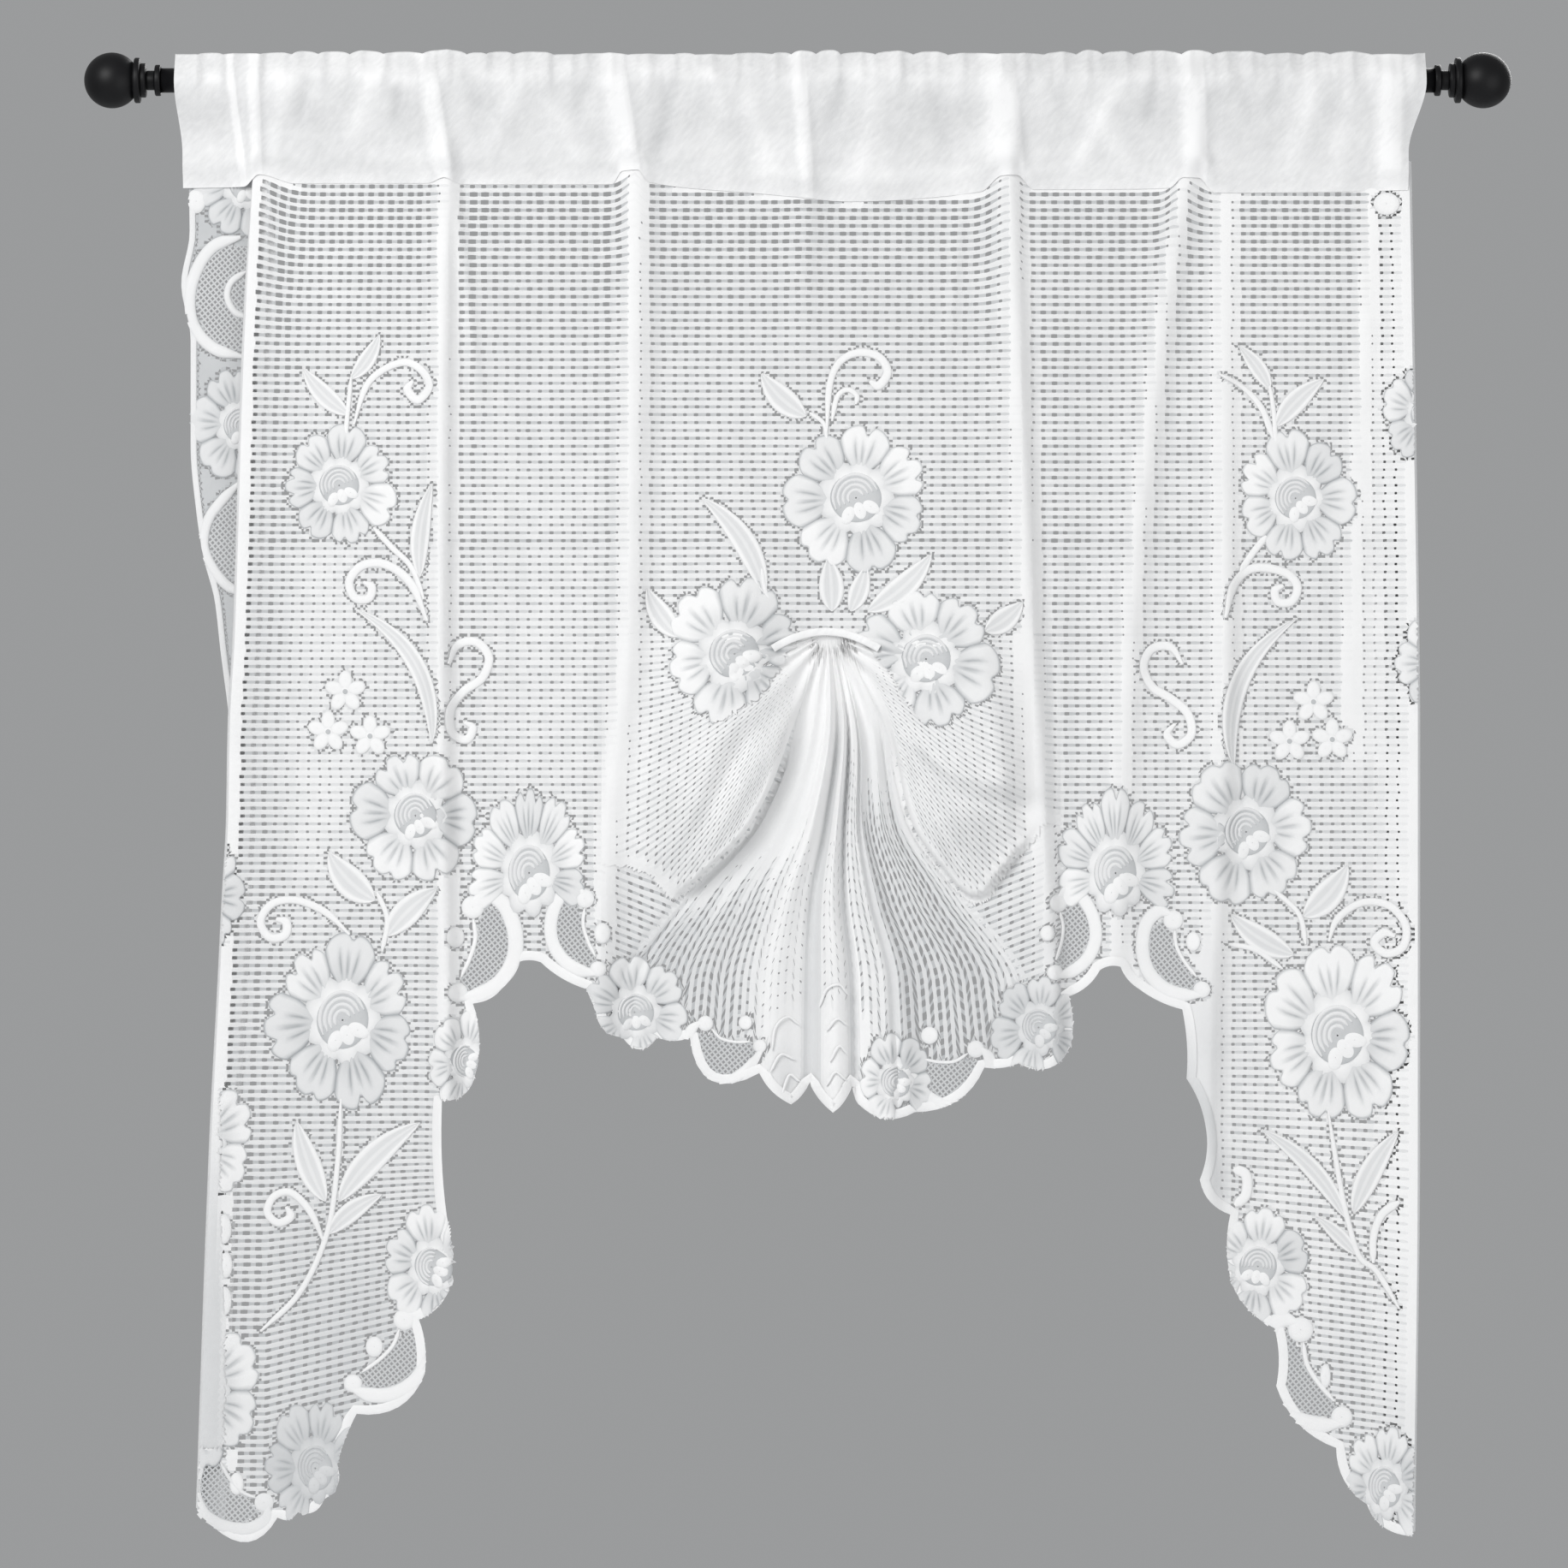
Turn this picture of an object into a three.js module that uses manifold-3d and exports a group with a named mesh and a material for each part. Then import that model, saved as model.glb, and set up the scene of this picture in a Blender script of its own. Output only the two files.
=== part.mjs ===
// Lace kitchen curtain hung on a curtain rod: a gathered heading band, one lace panel with two long tails
// and a centre drawn up by a tie, and a round rod with a ball finial at each end.
// Millimetres. The origin is on the rod's axis at mid length, +X is to the right as seen from the room,
// +Y is towards the window and +Z is up.
import * as THREE from 'three';
import Module from 'manifold-3d';

const wasm = await Module();
wasm.setup();

// Front view: table positions count from the view's upper left corner, x to the right and y down
const MM_PER_UNIT = 0.56;
const ROD_VIEW_X = 932;
const ROD_VIEW_Y = 94;
const viewX = (x) => (x - ROD_VIEW_X) * MM_PER_UNIT;
const viewZ = (y) => (ROD_VIEW_Y - y) * MM_PER_UNIT;

// Main sizes
const ROD_DIAMETER = 16;
const BALL_DIAMETER = 36.4;
const LACE_THICKNESS = 1.6;
const HEADING_THICKNESS = 2.6;
const CLEARANCE = 0.3;

// Rod and finials
const FINIAL_END = 416.6;
const SOCKET_DEPTH = 3.2;
const ROD_HALF_LENGTH = FINIAL_END + SOCKET_DEPTH - CLEARANCE;
const ROD_SIDES = 32;
const FINIAL_SIDES = 28;
const BALL_STEPS = 11;
const BALL_CENTRE_FROM_END = 32;
const FINIAL_RINGS = [
  { name: 'collar', from: 17.2, to: 13.4, radius: 14.8 },
  { name: 'step', from: 13.4, to: 9.6, radius: 11.2 },
  { name: 'neck', from: 9.6, to: 3.8, radius: 6.4 },
  { name: 'flange', from: 3.8, to: 0, radius: 10.2 },
];

// Heading band
const HEADING_LEFT = { atRod: viewX(205), atSeam: viewX(213) };
const HEADING_RIGHT = { atRod: viewX(1665), atSeam: viewX(1645) };
const HEADING_TOP = 18.4;
const RUFFLE = [
  { height: 1.3, wave: 47, shift: 0.4 },
  { height: 0.9, wave: 29, shift: 1.9 },
];
const BORE_RADIUS = 9.8;
const LOOP_RADIUS = 11.8;
const LOOP_CENTRE = ROD_DIAMETER / 2 + CLEARANCE - BORE_RADIUS;
const SEAM_BEHIND = 4;
const HEADING_LOWERED = -48;
const HEADING_LEVELS = [12, 8.5, 3.5, -1.5, -7, -11, -14, -20, -32, -46];
const HEADING_END_COLUMNS = 6;
const PLEAT_OPENS_OVER = 10;
const SEAM = [
  { x: 190, y: 219 },
  { x: 290, y: 218 },
  { x: 304, y: 199 },
  { x: 345, y: 214 },
  { x: 503, y: 214 },
  { x: 519, y: 197 },
  { x: 537, y: 215 },
  { x: 718, y: 215 },
  { x: 736, y: 192 },
  { x: 756, y: 213 },
  { x: 890, y: 226 },
  { x: 993, y: 235 },
  { x: 1146, y: 224 },
  { x: 1170, y: 203 },
  { x: 1208, y: 221 },
  { x: 1366, y: 220 },
  { x: 1388, y: 204 },
  { x: 1420, y: 225 },
  { x: 1680, y: 222 },
];

// Fold lines of the hung lace: the x of each at the levels below
const LINE_LEVELS = [183, 420, 740, 850, 960, 1050, 1150, 1320, 1815];
const FOLD_LINES = {
  leftEdge: [298, 285, 273, 266, 258, 252, 247, 242, 230],
  leftRidge: [518, 511, 509, 510, 511, 513, 516, 518, 520],
  swagLeft: [743, 738, 733, 722, 710, 704, 698, 696, 694],
  fanLeft: [890, 900, 948, 925, 878, 792, 722, 706, 704],
  fanRight: [1050, 1040, 998, 1040, 1066, 1130, 1200, 1216, 1218],
  swagRight: [1178, 1188, 1203, 1210, 1217, 1222, 1228, 1232, 1234],
  rightRidge: [1388, 1350, 1318, 1312, 1306, 1303, 1300, 1300, 1300],
  rightSoft: [1430, 1428, 1430, 1428, 1424, 1420, 1414, 1410, 1410],
  rightEdge: [1646, 1650, 1655, 1656, 1656, 1656, 1656, 1656, 1650],
};

// Ridges along those lines: how far each stands towards the room at the seam, the tie and the foot, and its
// half width
const RIDGES = [
  { line: 'leftEdge', seam: 5, tie: 7, foot: 6, half: 16 },
  { line: 'leftRidge', seam: 8, tie: 13, foot: 8, half: 13 },
  { line: 'swagLeft', seam: 8, tie: 13, foot: 6, half: 14 },
  { line: 'swagRight', seam: 9, tie: 14, foot: 6, half: 17 },
  { line: 'rightRidge', seam: 8, tie: 8, foot: 3, half: 14 },
  { line: 'rightSoft', seam: 1, tie: 9, foot: 7, half: 16 },
  { line: 'rightEdge', seam: 5, tie: 7, foot: 6, half: 18 },
];
const CENTRE_RIDGE = { x: viewX(938), depth: 5.5, half: 13, fadeFrom: viewZ(230), fadeTo: viewZ(480) };
const RIDGE_STARTS = -14;
const SEAM_Z = viewZ(218);
const FOOT_Z = viewZ(1700);
const HOLLOW = 3.5;

// Swag: the centre billows forward into a pouch on each side of the tie and steps back to the fan
const TIE = { x: viewX(967), z: viewZ(740) };
const SWAG = { depth: 27, from: viewZ(430), full: viewZ(940), tieReach: 46 };
const SWAG_SHOULDER = { left: 0.6, right: 0.28 };
const POUCH_STEP = 5;
const POUCH_LEAN = 4;
const LIP_SCALE = 6 * Math.sqrt(3);
const POUCH_LEFT = { outer: viewZ(1000), inner: viewZ(1047) };
const POUCH_RIGHT = { outer: viewZ(956), inner: viewZ(1064) };
const POUCH_MIDDLE = viewZ(1010);
const FAN_BACK = 2;
const FAN_TOP = { from: TIE.z + 5, to: TIE.z - 12 };
const PLEATS = [
  { at: 0.05, half: 0.05, depth: 5 },
  { at: 0.2, half: 0.06, depth: 3 },
  { at: 0.38, half: 0.06, depth: 11 },
  { at: 0.53, half: 0.045, depth: 13 },
  { at: 0.66, half: 0.055, depth: 12 },
  { at: 0.82, half: 0.05, depth: 4 },
  { at: 0.95, half: 0.05, depth: 5 },
];
const PLEAT_RISE = 95;

// Side borders of the lace: folded behind on the left, then out again, and turned behind on the right
const LEFT_TURN = [
  { across: -1.8, back: 2.6 },
  { across: 1.5, back: 5.4 },
  { across: 8, back: 6.2 },
  { across: 14.5, back: 6.8 },
  { across: 17.4, back: 9.4 },
  { across: 14.5, back: 12 },
  { across: 7, back: 12.6 },
];
const STRIP_BEHIND = 8;
const STRIP_MIDDLE = 0.5;
const LEFT_TURN_OPENS = { from: -40, to: -130, least: 0.45 };
const SELVEDGE = [
  { y: 183, x: 219 },
  { y: 270, x: 220 },
  { y: 330, x: 210 },
  { y: 395, x: 221 },
  { y: 520, x: 221 },
  { y: 600, x: 234 },
  { y: 700, x: 251 },
  { y: 800, x: 278 },
  { y: 1815, x: 244 },
];
const RIGHT_TURN = [
  { across: 1.8, back: 2.6 },
  { across: -1.5, back: 5.4 },
  { across: -9, back: 6.2 },
  { across: -18, back: 6.8 },
  { across: -27, back: 7.2 },
];

// Grid of the lace panel: rows by height and columns between the fold lines
const ROW_BANDS = [
  { to: 183, rows: 0 },
  { to: 250, rows: 2 },
  { to: 730, rows: 6 },
  { to: 940, rows: 5 },
  { to: 1075, rows: 9 },
  { to: 1310, rows: 6 },
  { to: 1815, rows: 7 },
];
const COLUMN_BANDS = [
  { from: 'leftEdge', to: 'leftRidge', columns: 8, fromEdge: POUCH_MIDDLE, toEdge: POUCH_MIDDLE },
  { from: 'leftRidge', to: 'swagLeft', columns: 8, fromEdge: POUCH_MIDDLE, toEdge: POUCH_LEFT.outer },
  { from: 'swagLeft', to: 'fanLeft', columns: 7, fromEdge: POUCH_LEFT.outer, toEdge: POUCH_LEFT.inner },
  { from: 'fanLeft', to: 'fanRight', columns: 24, fromEdge: POUCH_LEFT.inner, toEdge: POUCH_RIGHT.inner },
  { from: 'fanRight', to: 'swagRight', columns: 7, fromEdge: POUCH_RIGHT.inner, toEdge: POUCH_RIGHT.outer },
  { from: 'swagRight', to: 'rightRidge', columns: 7, fromEdge: POUCH_RIGHT.outer, toEdge: POUCH_MIDDLE },
  { from: 'rightRidge', to: 'rightEdge', columns: 10, fromEdge: POUCH_MIDDLE, toEdge: POUCH_MIDDLE },
];
const FAN_EVENNESS = 4;
const ROW_SHIFT = { above: viewZ(780), edge: viewZ(975), edgeEnd: viewZ(1045), below: viewZ(1160) };

// Hem: scallop corners from the left tail to the right tail, each with the bow of the edge that leads to it
const HEM_STEPS = 4;
const HEM = [
  { x: 200, y: 1725, bow: 0 },
  { x: 249, y: 1783, bow: 6 },
  { x: 324, y: 1773, bow: 24 },
  { x: 347, y: 1767, bow: 6 },
  { x: 378, y: 1752, bow: 8 },
  { x: 393, y: 1712, bow: 9 },
  { x: 416, y: 1652, bow: -2 },
  { x: 496, y: 1605, bow: 18 },
  { x: 489, y: 1542, bow: 4 },
  { x: 524, y: 1508, bow: 5 },
  { x: 522, y: 1420, bow: 4 },
  { x: 517, y: 1285, bow: -3 },
  { x: 553, y: 1262, bow: 8 },
  { x: 552, y: 1172, bow: 7 },
  { x: 588, y: 1152, bow: 5 },
  { x: 607, y: 1123, bow: 3 },
  { x: 632, y: 1124, bow: -2 },
  { x: 686, y: 1155, bow: 4 },
  { x: 697, y: 1180, bow: 0 },
  { x: 727, y: 1212, bow: 9 },
  { x: 768, y: 1212, bow: 14 },
  { x: 806, y: 1212, bow: 4 },
  { x: 888, y: 1253, bow: 34 },
  { x: 925, y: 1290, bow: 5 },
  { x: 946, y: 1264, bow: 2 },
  { x: 974, y: 1299, bow: 3 },
  { x: 996, y: 1264, bow: 3 },
  { x: 1004, y: 1290, bow: 3 },
  { x: 1068, y: 1299, bow: 12 },
  { x: 1150, y: 1247, bow: 16 },
  { x: 1190, y: 1242, bow: 3 },
  { x: 1250, y: 1222, bow: 16 },
  { x: 1248, y: 1164, bow: 4 },
  { x: 1285, y: 1133, bow: 5 },
  { x: 1309, y: 1129, bow: -3 },
  { x: 1331, y: 1155, bow: 3 },
  { x: 1382, y: 1179, bow: 3 },
  { x: 1387, y: 1260, bow: -3 },
  { x: 1408, y: 1312, bow: -3 },
  { x: 1402, y: 1378, bow: -5 },
  { x: 1438, y: 1419, bow: 8 },
  { x: 1440, y: 1500, bow: 5 },
  { x: 1490, y: 1552, bow: 7 },
  { x: 1492, y: 1620, bow: -4 },
  { x: 1562, y: 1692, bow: 12 },
  { x: 1598, y: 1758, bow: 10 },
  { x: 1632, y: 1791, bow: 6 },
  { x: 1690, y: 1793, bow: 3 },
];
const HEM_ABOVE = 100;
const HEM_CUT_DEPTH = 120;

// Tie band across the head of the fan
const TIE_BAND = { left: viewX(903), right: viewX(1027), crown: viewZ(738), drop: 11 };
const TIE_WIDTH = 5;
const TIE_THICKNESS = 1.4;
const TIE_STEPS = 16;
const TIE_EDGES = [0.5, 0, -0.5];
const TIE_AHEAD = 3.4;

// Colours
const BLACK_PAINT = { color: 0x0c0c0d, roughness: 0.42, metalness: 0.0 };
const WHITE_COTTON = { color: 0xf3f5f6, roughness: 0.9, metalness: 0.0 };
const WHITE_LACE = { color: 0xeef1f2, roughness: 0.92, metalness: 0.0 };

function smooth(from, to, value) {
  const t = THREE.MathUtils.clamp((value - from) / (to - from), 0, 1);
  return t * t * (3 - 2 * t);
}

function bump(t) {
  return Math.exp(-t * t);
}

// Straight-line reading of a table of places and values, both in rising order of place
function reading(places, values, place) {
  const last = places.length - 1;
  let k = 0;
  while (k < last - 1 && place > places[k + 1]) k += 1;
  const t = THREE.MathUtils.clamp((place - places[k]) / (places[k + 1] - places[k]), 0, 1);
  return THREE.MathUtils.lerp(values[k], values[k + 1], t);
}

const LINE_DROPS = LINE_LEVELS.map((y) => -viewZ(y));
const LINE_XS = Object.fromEntries(Object.entries(FOLD_LINES).map(([name, xs]) => [name, xs.map(viewX)]));

function lineX(name, z) {
  return reading(LINE_DROPS, LINE_XS[name], -z);
}

const SELVEDGE_DROPS = SELVEDGE.map((key) => -viewZ(key.y));
const SELVEDGE_XS = SELVEDGE.map((key) => viewX(key.x));
const SEAM_XS = SEAM.map((key) => viewX(key.x));
const SEAM_ZS = SEAM.map((key) => viewZ(key.y));

function seamZ(x) {
  return reading(SEAM_XS, SEAM_ZS, x);
}

// How far the left pleat has opened at a height: little at the seam, fully lower down
function leftTurnOpen(z) {
  const { from, to, least } = LEFT_TURN_OPENS;
  return THREE.MathUtils.lerp(least, 1, smooth(from, to, z));
}

function ridgeDepth(x, z) {
  const started = smooth(RIDGE_STARTS, SEAM_Z, z);
  let depth = 0;
  for (const ridge of RIDGES) {
    const height =
      z > TIE.z
        ? THREE.MathUtils.mapLinear(Math.min(z, SEAM_Z), SEAM_Z, TIE.z, ridge.seam, ridge.tie)
        : THREE.MathUtils.mapLinear(Math.max(z, FOOT_Z), TIE.z, FOOT_Z, ridge.tie, ridge.foot);
    depth += height * bump((x - lineX(ridge.line, z)) / ridge.half);
  }
  const centreFade = 1 - smooth(CENTRE_RIDGE.fadeFrom, CENTRE_RIDGE.fadeTo, z);
  depth += CENTRE_RIDGE.depth * centreFade * bump((x - CENTRE_RIDGE.x) / CENTRE_RIDGE.half);
  return started * depth;
}

// Where a point lies in the swag: how far into the fan, and how far inside the pouch's two edges
function swagPlace(x, z) {
  const fanLeft = lineX('fanLeft', z);
  const fanRight = lineX('fanRight', z);
  const swagLeft = lineX('swagLeft', z);
  const swagRight = lineX('swagRight', z);
  const onLeft = x < (fanLeft + fanRight) / 2;
  const outside = onLeft ? fanLeft - x : x - fanRight;
  const across = onLeft ? (x - swagLeft) / (fanLeft - swagLeft) : (swagRight - x) / (swagRight - fanRight);
  const edge = onLeft ? POUCH_LEFT : POUCH_RIGHT;
  const inward = THREE.MathUtils.clamp(across, 0, 1);
  const bottom = THREE.MathUtils.lerp(edge.outer, edge.inner, onLeft ? inward * inward : inward);
  const belowTie = smooth(FAN_TOP.from, FAN_TOP.to, z);
  return {
    onLeft,
    inFan: belowTie * smooth(POUCH_STEP, -POUCH_STEP, outside),
    besideFan: 1 - belowTie * smooth(POUCH_STEP, -POUCH_STEP, outside),
    abovePouchEdge: smooth(-POUCH_STEP, POUCH_STEP, z - bottom),
    lateral: smooth(0, onLeft ? SWAG_SHOULDER.left : SWAG_SHOULDER.right, across),
    fan: THREE.MathUtils.clamp((x - fanLeft) / (fanRight - fanLeft), 0, 1),
  };
}

function swagSize(x, z, place) {
  const fromTie = Math.hypot(x - TIE.x, z - TIE.z);
  const clearOfTie = 1 - bump(fromTie / SWAG.tieReach);
  return smooth(SWAG.from, SWAG.full, z) * place.lateral * clearOfTie;
}

function fanDepth(z, place) {
  const risen = smooth(TIE.z, TIE.z - PLEAT_RISE, z);
  let depth = -FAN_BACK;
  for (const pleat of PLEATS) depth += risen * pleat.depth * bump((place.fan - pleat.at) / pleat.half);
  return depth * place.inFan;
}

// Lean of the pouch's lip over a step that runs from 0 to 1: +1 near the top of the step and -1 near its foot
function lip(step) {
  return LIP_SCALE * step * (1 - step) * (2 * step - 1);
}

// A point of the hung lace in front view, moved towards the room by its folds
function hung(x, z) {
  const place = swagPlace(x, z);
  const size = swagSize(x, z, place);
  const pouch = size * place.besideFan * place.abovePouchEdge;
  const depth = ridgeDepth(x, z) + SWAG.depth * pouch + fanDepth(z, place);
  const side = place.onLeft ? 1 : -1;
  const leanX = side * POUCH_LEAN * size * place.abovePouchEdge * lip(place.besideFan);
  const leanZ = -POUCH_LEAN * size * place.besideFan * lip(place.abovePouchEdge);
  return new THREE.Vector3(x + leanX, HOLLOW - depth, z + leanZ);
}

// Solid of a thin sheet: points[column][row] are its middle surface
function sheetSolid(points, thickness) {
  const columns = points.length;
  const rows = points[0].length;
  const positions = [];
  const toNext = new THREE.Vector3();
  const toBelow = new THREE.Vector3();
  for (const sign of [-1, 1]) {
    for (let i = 0; i < columns; i += 1) {
      for (let j = 0; j < rows; j += 1) {
        toNext.subVectors(points[Math.min(i + 1, columns - 1)][j], points[Math.max(i - 1, 0)][j]);
        toBelow.subVectors(points[i][Math.min(j + 1, rows - 1)], points[i][Math.max(j - 1, 0)]);
        const normal = toBelow.clone().cross(toNext).normalize();
        const moved = points[i][j].clone().addScaledVector(normal, (-sign * thickness) / 2);
        positions.push(moved.x, moved.y, moved.z);
      }
    }
  }
  const back = columns * rows;
  const at = (i, j) => i * rows + j;
  const index = [];
  const quad = (a, b, c, d) => index.push(a, b, c, a, c, d);
  for (let i = 0; i + 1 < columns; i += 1) {
    for (let j = 0; j + 1 < rows; j += 1) {
      quad(at(i, j), at(i, j + 1), at(i + 1, j + 1), at(i + 1, j));
      quad(back + at(i, j), back + at(i + 1, j), back + at(i + 1, j + 1), back + at(i, j + 1));
    }
    quad(at(i, 0), at(i + 1, 0), back + at(i + 1, 0), back + at(i, 0));
    quad(at(i + 1, rows - 1), at(i, rows - 1), back + at(i, rows - 1), back + at(i + 1, rows - 1));
  }
  for (let j = 0; j + 1 < rows; j += 1) {
    quad(at(0, j + 1), at(0, j), back + at(0, j), back + at(0, j + 1));
    const end = columns - 1;
    quad(at(end, j), at(end, j + 1), back + at(end, j + 1), back + at(end, j));
  }
  const geometry = new THREE.BufferGeometry();
  geometry.setAttribute('position', new THREE.Float32BufferAttribute(positions, 3));
  geometry.setIndex(index);
  return geometry;
}

function toManifold(geometry) {
  const positions = geometry.getAttribute('position').array;
  const everyPoint = Array.from({ length: positions.length / 3 }, (_, k) => k);
  const mesh = new wasm.Mesh({
    numProp: 3,
    vertProperties: new Float32Array(positions),
    triVerts: new Uint32Array(geometry.index ? geometry.index.array : everyPoint),
  });
  mesh.merge();
  return new wasm.Manifold(mesh);
}

function fromManifold(solid) {
  const mesh = solid.getMesh();
  const geometry = new THREE.BufferGeometry();
  geometry.setAttribute('position', new THREE.Float32BufferAttribute(mesh.vertProperties, 3));
  geometry.setIndex(Array.from(mesh.triVerts));
  return geometry;
}

// Everything above the hem in front view, as a block through the cloth
function aboveHem() {
  const corners = HEM.map((key) => new THREE.Vector2(viewX(key.x), viewZ(key.y)));
  const outline = [new THREE.Vector2(corners[0].x, HEM_ABOVE), corners[0]];
  for (let k = 1; k < corners.length; k += 1) {
    const along = corners[k].clone().sub(corners[k - 1]);
    const outward = new THREE.Vector2(along.y, -along.x).normalize();
    for (let step = 1; step <= HEM_STEPS; step += 1) {
      const t = step / HEM_STEPS;
      const bow = HEM[k].bow * MM_PER_UNIT * 4 * t * (1 - t);
      outline.push(corners[k - 1].clone().addScaledVector(along, t).addScaledVector(outward, bow));
    }
  }
  outline.push(new THREE.Vector2(corners.at(-1).x, HEM_ABOVE));
  const cut = { depth: HEM_CUT_DEPTH, bevelEnabled: false };
  const block = new THREE.ExtrudeGeometry(new THREE.Shape(outline), cut);
  block.translate(0, 0, -HEM_CUT_DEPTH / 2);
  return block.rotateX(Math.PI / 2);
}

// Heights of the grid's rows, closer together round the pouches
function panelRows() {
  const rows = [];
  let from = ROW_BANDS[0].to;
  for (const band of ROW_BANDS) {
    for (let k = 1; k <= band.rows; k += 1) {
      rows.push(viewZ(THREE.MathUtils.lerp(from, band.to, k / band.rows)));
    }
    from = band.to;
  }
  return [viewZ(ROW_BANDS[0].to), ...rows];
}

// Shares across one band of columns: closer together at its two ends, even in the fan
function columnShares(band) {
  const shares = [];
  for (let k = 0; k < band.columns; k += 1) {
    const t = k / band.columns;
    const eased = (1 - Math.cos(Math.PI * t)) / 2;
    shares.push(band.from === 'fanLeft' ? (t * FAN_EVENNESS + eased) / (FAN_EVENNESS + 1) : eased);
  }
  return shares;
}

// Rows near the pouches' lower edges run along them
function rowShiftShare(z) {
  const { above, edge, edgeEnd, below } = ROW_SHIFT;
  return smooth(above, edge, z) * smooth(below, edgeEnd, z);
}

function leftTurnColumns(rows) {
  const turned = LEFT_TURN.map((turn) =>
    rows.map((z) => {
      const open = leftTurnOpen(z);
      const edge = hung(lineX('leftEdge', z), z);
      return new THREE.Vector3(edge.x + turn.across * open, edge.y + turn.back * open, z);
    }),
  );
  const inner = LEFT_TURN.at(-1);
  const strip = [STRIP_MIDDLE, 1].map((share) =>
    rows.map((z) => {
      const open = leftTurnOpen(z);
      const edge = hung(lineX('leftEdge', z), z);
      const selvedge = reading(SELVEDGE_DROPS, SELVEDGE_XS, -z);
      const x = THREE.MathUtils.lerp(edge.x + inner.across * open, selvedge, share);
      const y = THREE.MathUtils.lerp(edge.y + inner.back * open, HOLLOW + STRIP_BEHIND * open, share);
      return new THREE.Vector3(x, y, z);
    }),
  );
  return [...turned, ...strip].reverse();
}

function rightTurnColumns(rows) {
  return RIGHT_TURN.map((turn) =>
    rows.map((z) => {
      const edge = hung(lineX('rightEdge', z), z);
      return new THREE.Vector3(edge.x + turn.across, edge.y + turn.back, z);
    }),
  );
}

function lacePanel() {
  const rows = panelRows();
  const columns = leftTurnColumns(rows);
  for (const band of COLUMN_BANDS) {
    for (const share of columnShares(band)) {
      const shift = THREE.MathUtils.lerp(band.fromEdge, band.toEdge, share) - POUCH_MIDDLE;
      columns.push(
        rows.map((row) => {
          const z = row + shift * rowShiftShare(row);
          return hung(THREE.MathUtils.lerp(lineX(band.from, z), lineX(band.to, z), share), z);
        }),
      );
    }
  }
  columns.push(rows.map((z) => hung(lineX('rightEdge', z), z)));
  columns.push(...rightTurnColumns(rows));
  return fromManifold(toManifold(sheetSolid(columns, LACE_THICKNESS)).intersect(toManifold(aboveHem())));
}

// Half thickness of the heading at a height: two layers sewn flat, opened into a loop round the rod
function headingHalf(z) {
  const flat = HEADING_THICKNESS / 2;
  const offCentre = (z - LOOP_CENTRE) / (LOOP_RADIUS + 1);
  return flat + (LOOP_RADIUS - flat) * Math.sqrt(Math.max(0, 1 - offCentre * offCentre));
}

function headingTop(x) {
  let z = HEADING_TOP;
  for (const fold of RUFFLE) z += fold.height * Math.sin((x / fold.wave) * Math.PI * 2 + fold.shift);
  return z;
}

// Places of the heading's columns along its seam: the panel's own columns there, every other one above
// the fan
function headingShares() {
  const left = HEADING_LEFT.atSeam;
  const right = HEADING_RIGHT.atSeam;
  const firstFold = lineX('leftEdge', SEAM_Z);
  const xs = [];
  for (let k = 0; k < HEADING_END_COLUMNS; k += 1) {
    xs.push(THREE.MathUtils.lerp(left, firstFold, k / HEADING_END_COLUMNS));
  }
  for (const band of COLUMN_BANDS) {
    const from = lineX(band.from, SEAM_Z);
    const to = lineX(band.to, SEAM_Z);
    const every = band.from === 'fanLeft' ? 2 : 1;
    const shares = columnShares(band).filter((_, k) => k % every === 0);
    for (const share of shares) xs.push(THREE.MathUtils.lerp(from, to, share));
  }
  return [...xs.map((x) => (x - left) / (right - left)), 1];
}

// Heights of the heading's rows at one of its columns, from the top edge down to the seam
function headingHeights(share) {
  const x = THREE.MathUtils.lerp(HEADING_LEFT.atSeam, HEADING_RIGHT.atSeam, share);
  return [headingTop(x), ...HEADING_LEVELS, seamZ(x)];
}

function headingPoint(share, z, face) {
  const lowered = smooth(LOOP_CENTRE, HEADING_LOWERED, z);
  const left = THREE.MathUtils.lerp(HEADING_LEFT.atRod, HEADING_LEFT.atSeam, lowered);
  const right = THREE.MathUtils.lerp(HEADING_RIGHT.atRod, HEADING_RIGHT.atSeam, lowered);
  const x = THREE.MathUtils.lerp(left, right, share);
  const pleatOpen = leftTurnOpen(z) * STRIP_BEHIND * smooth(0, PLEAT_OPENS_OVER, lineX('leftEdge', z) - x);
  const middleY = lowered * (HOLLOW + pleatOpen - SEAM_BEHIND) - ridgeDepth(x, z);
  return new THREE.Vector3(x, middleY + face * headingHalf(z), z);
}

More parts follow.
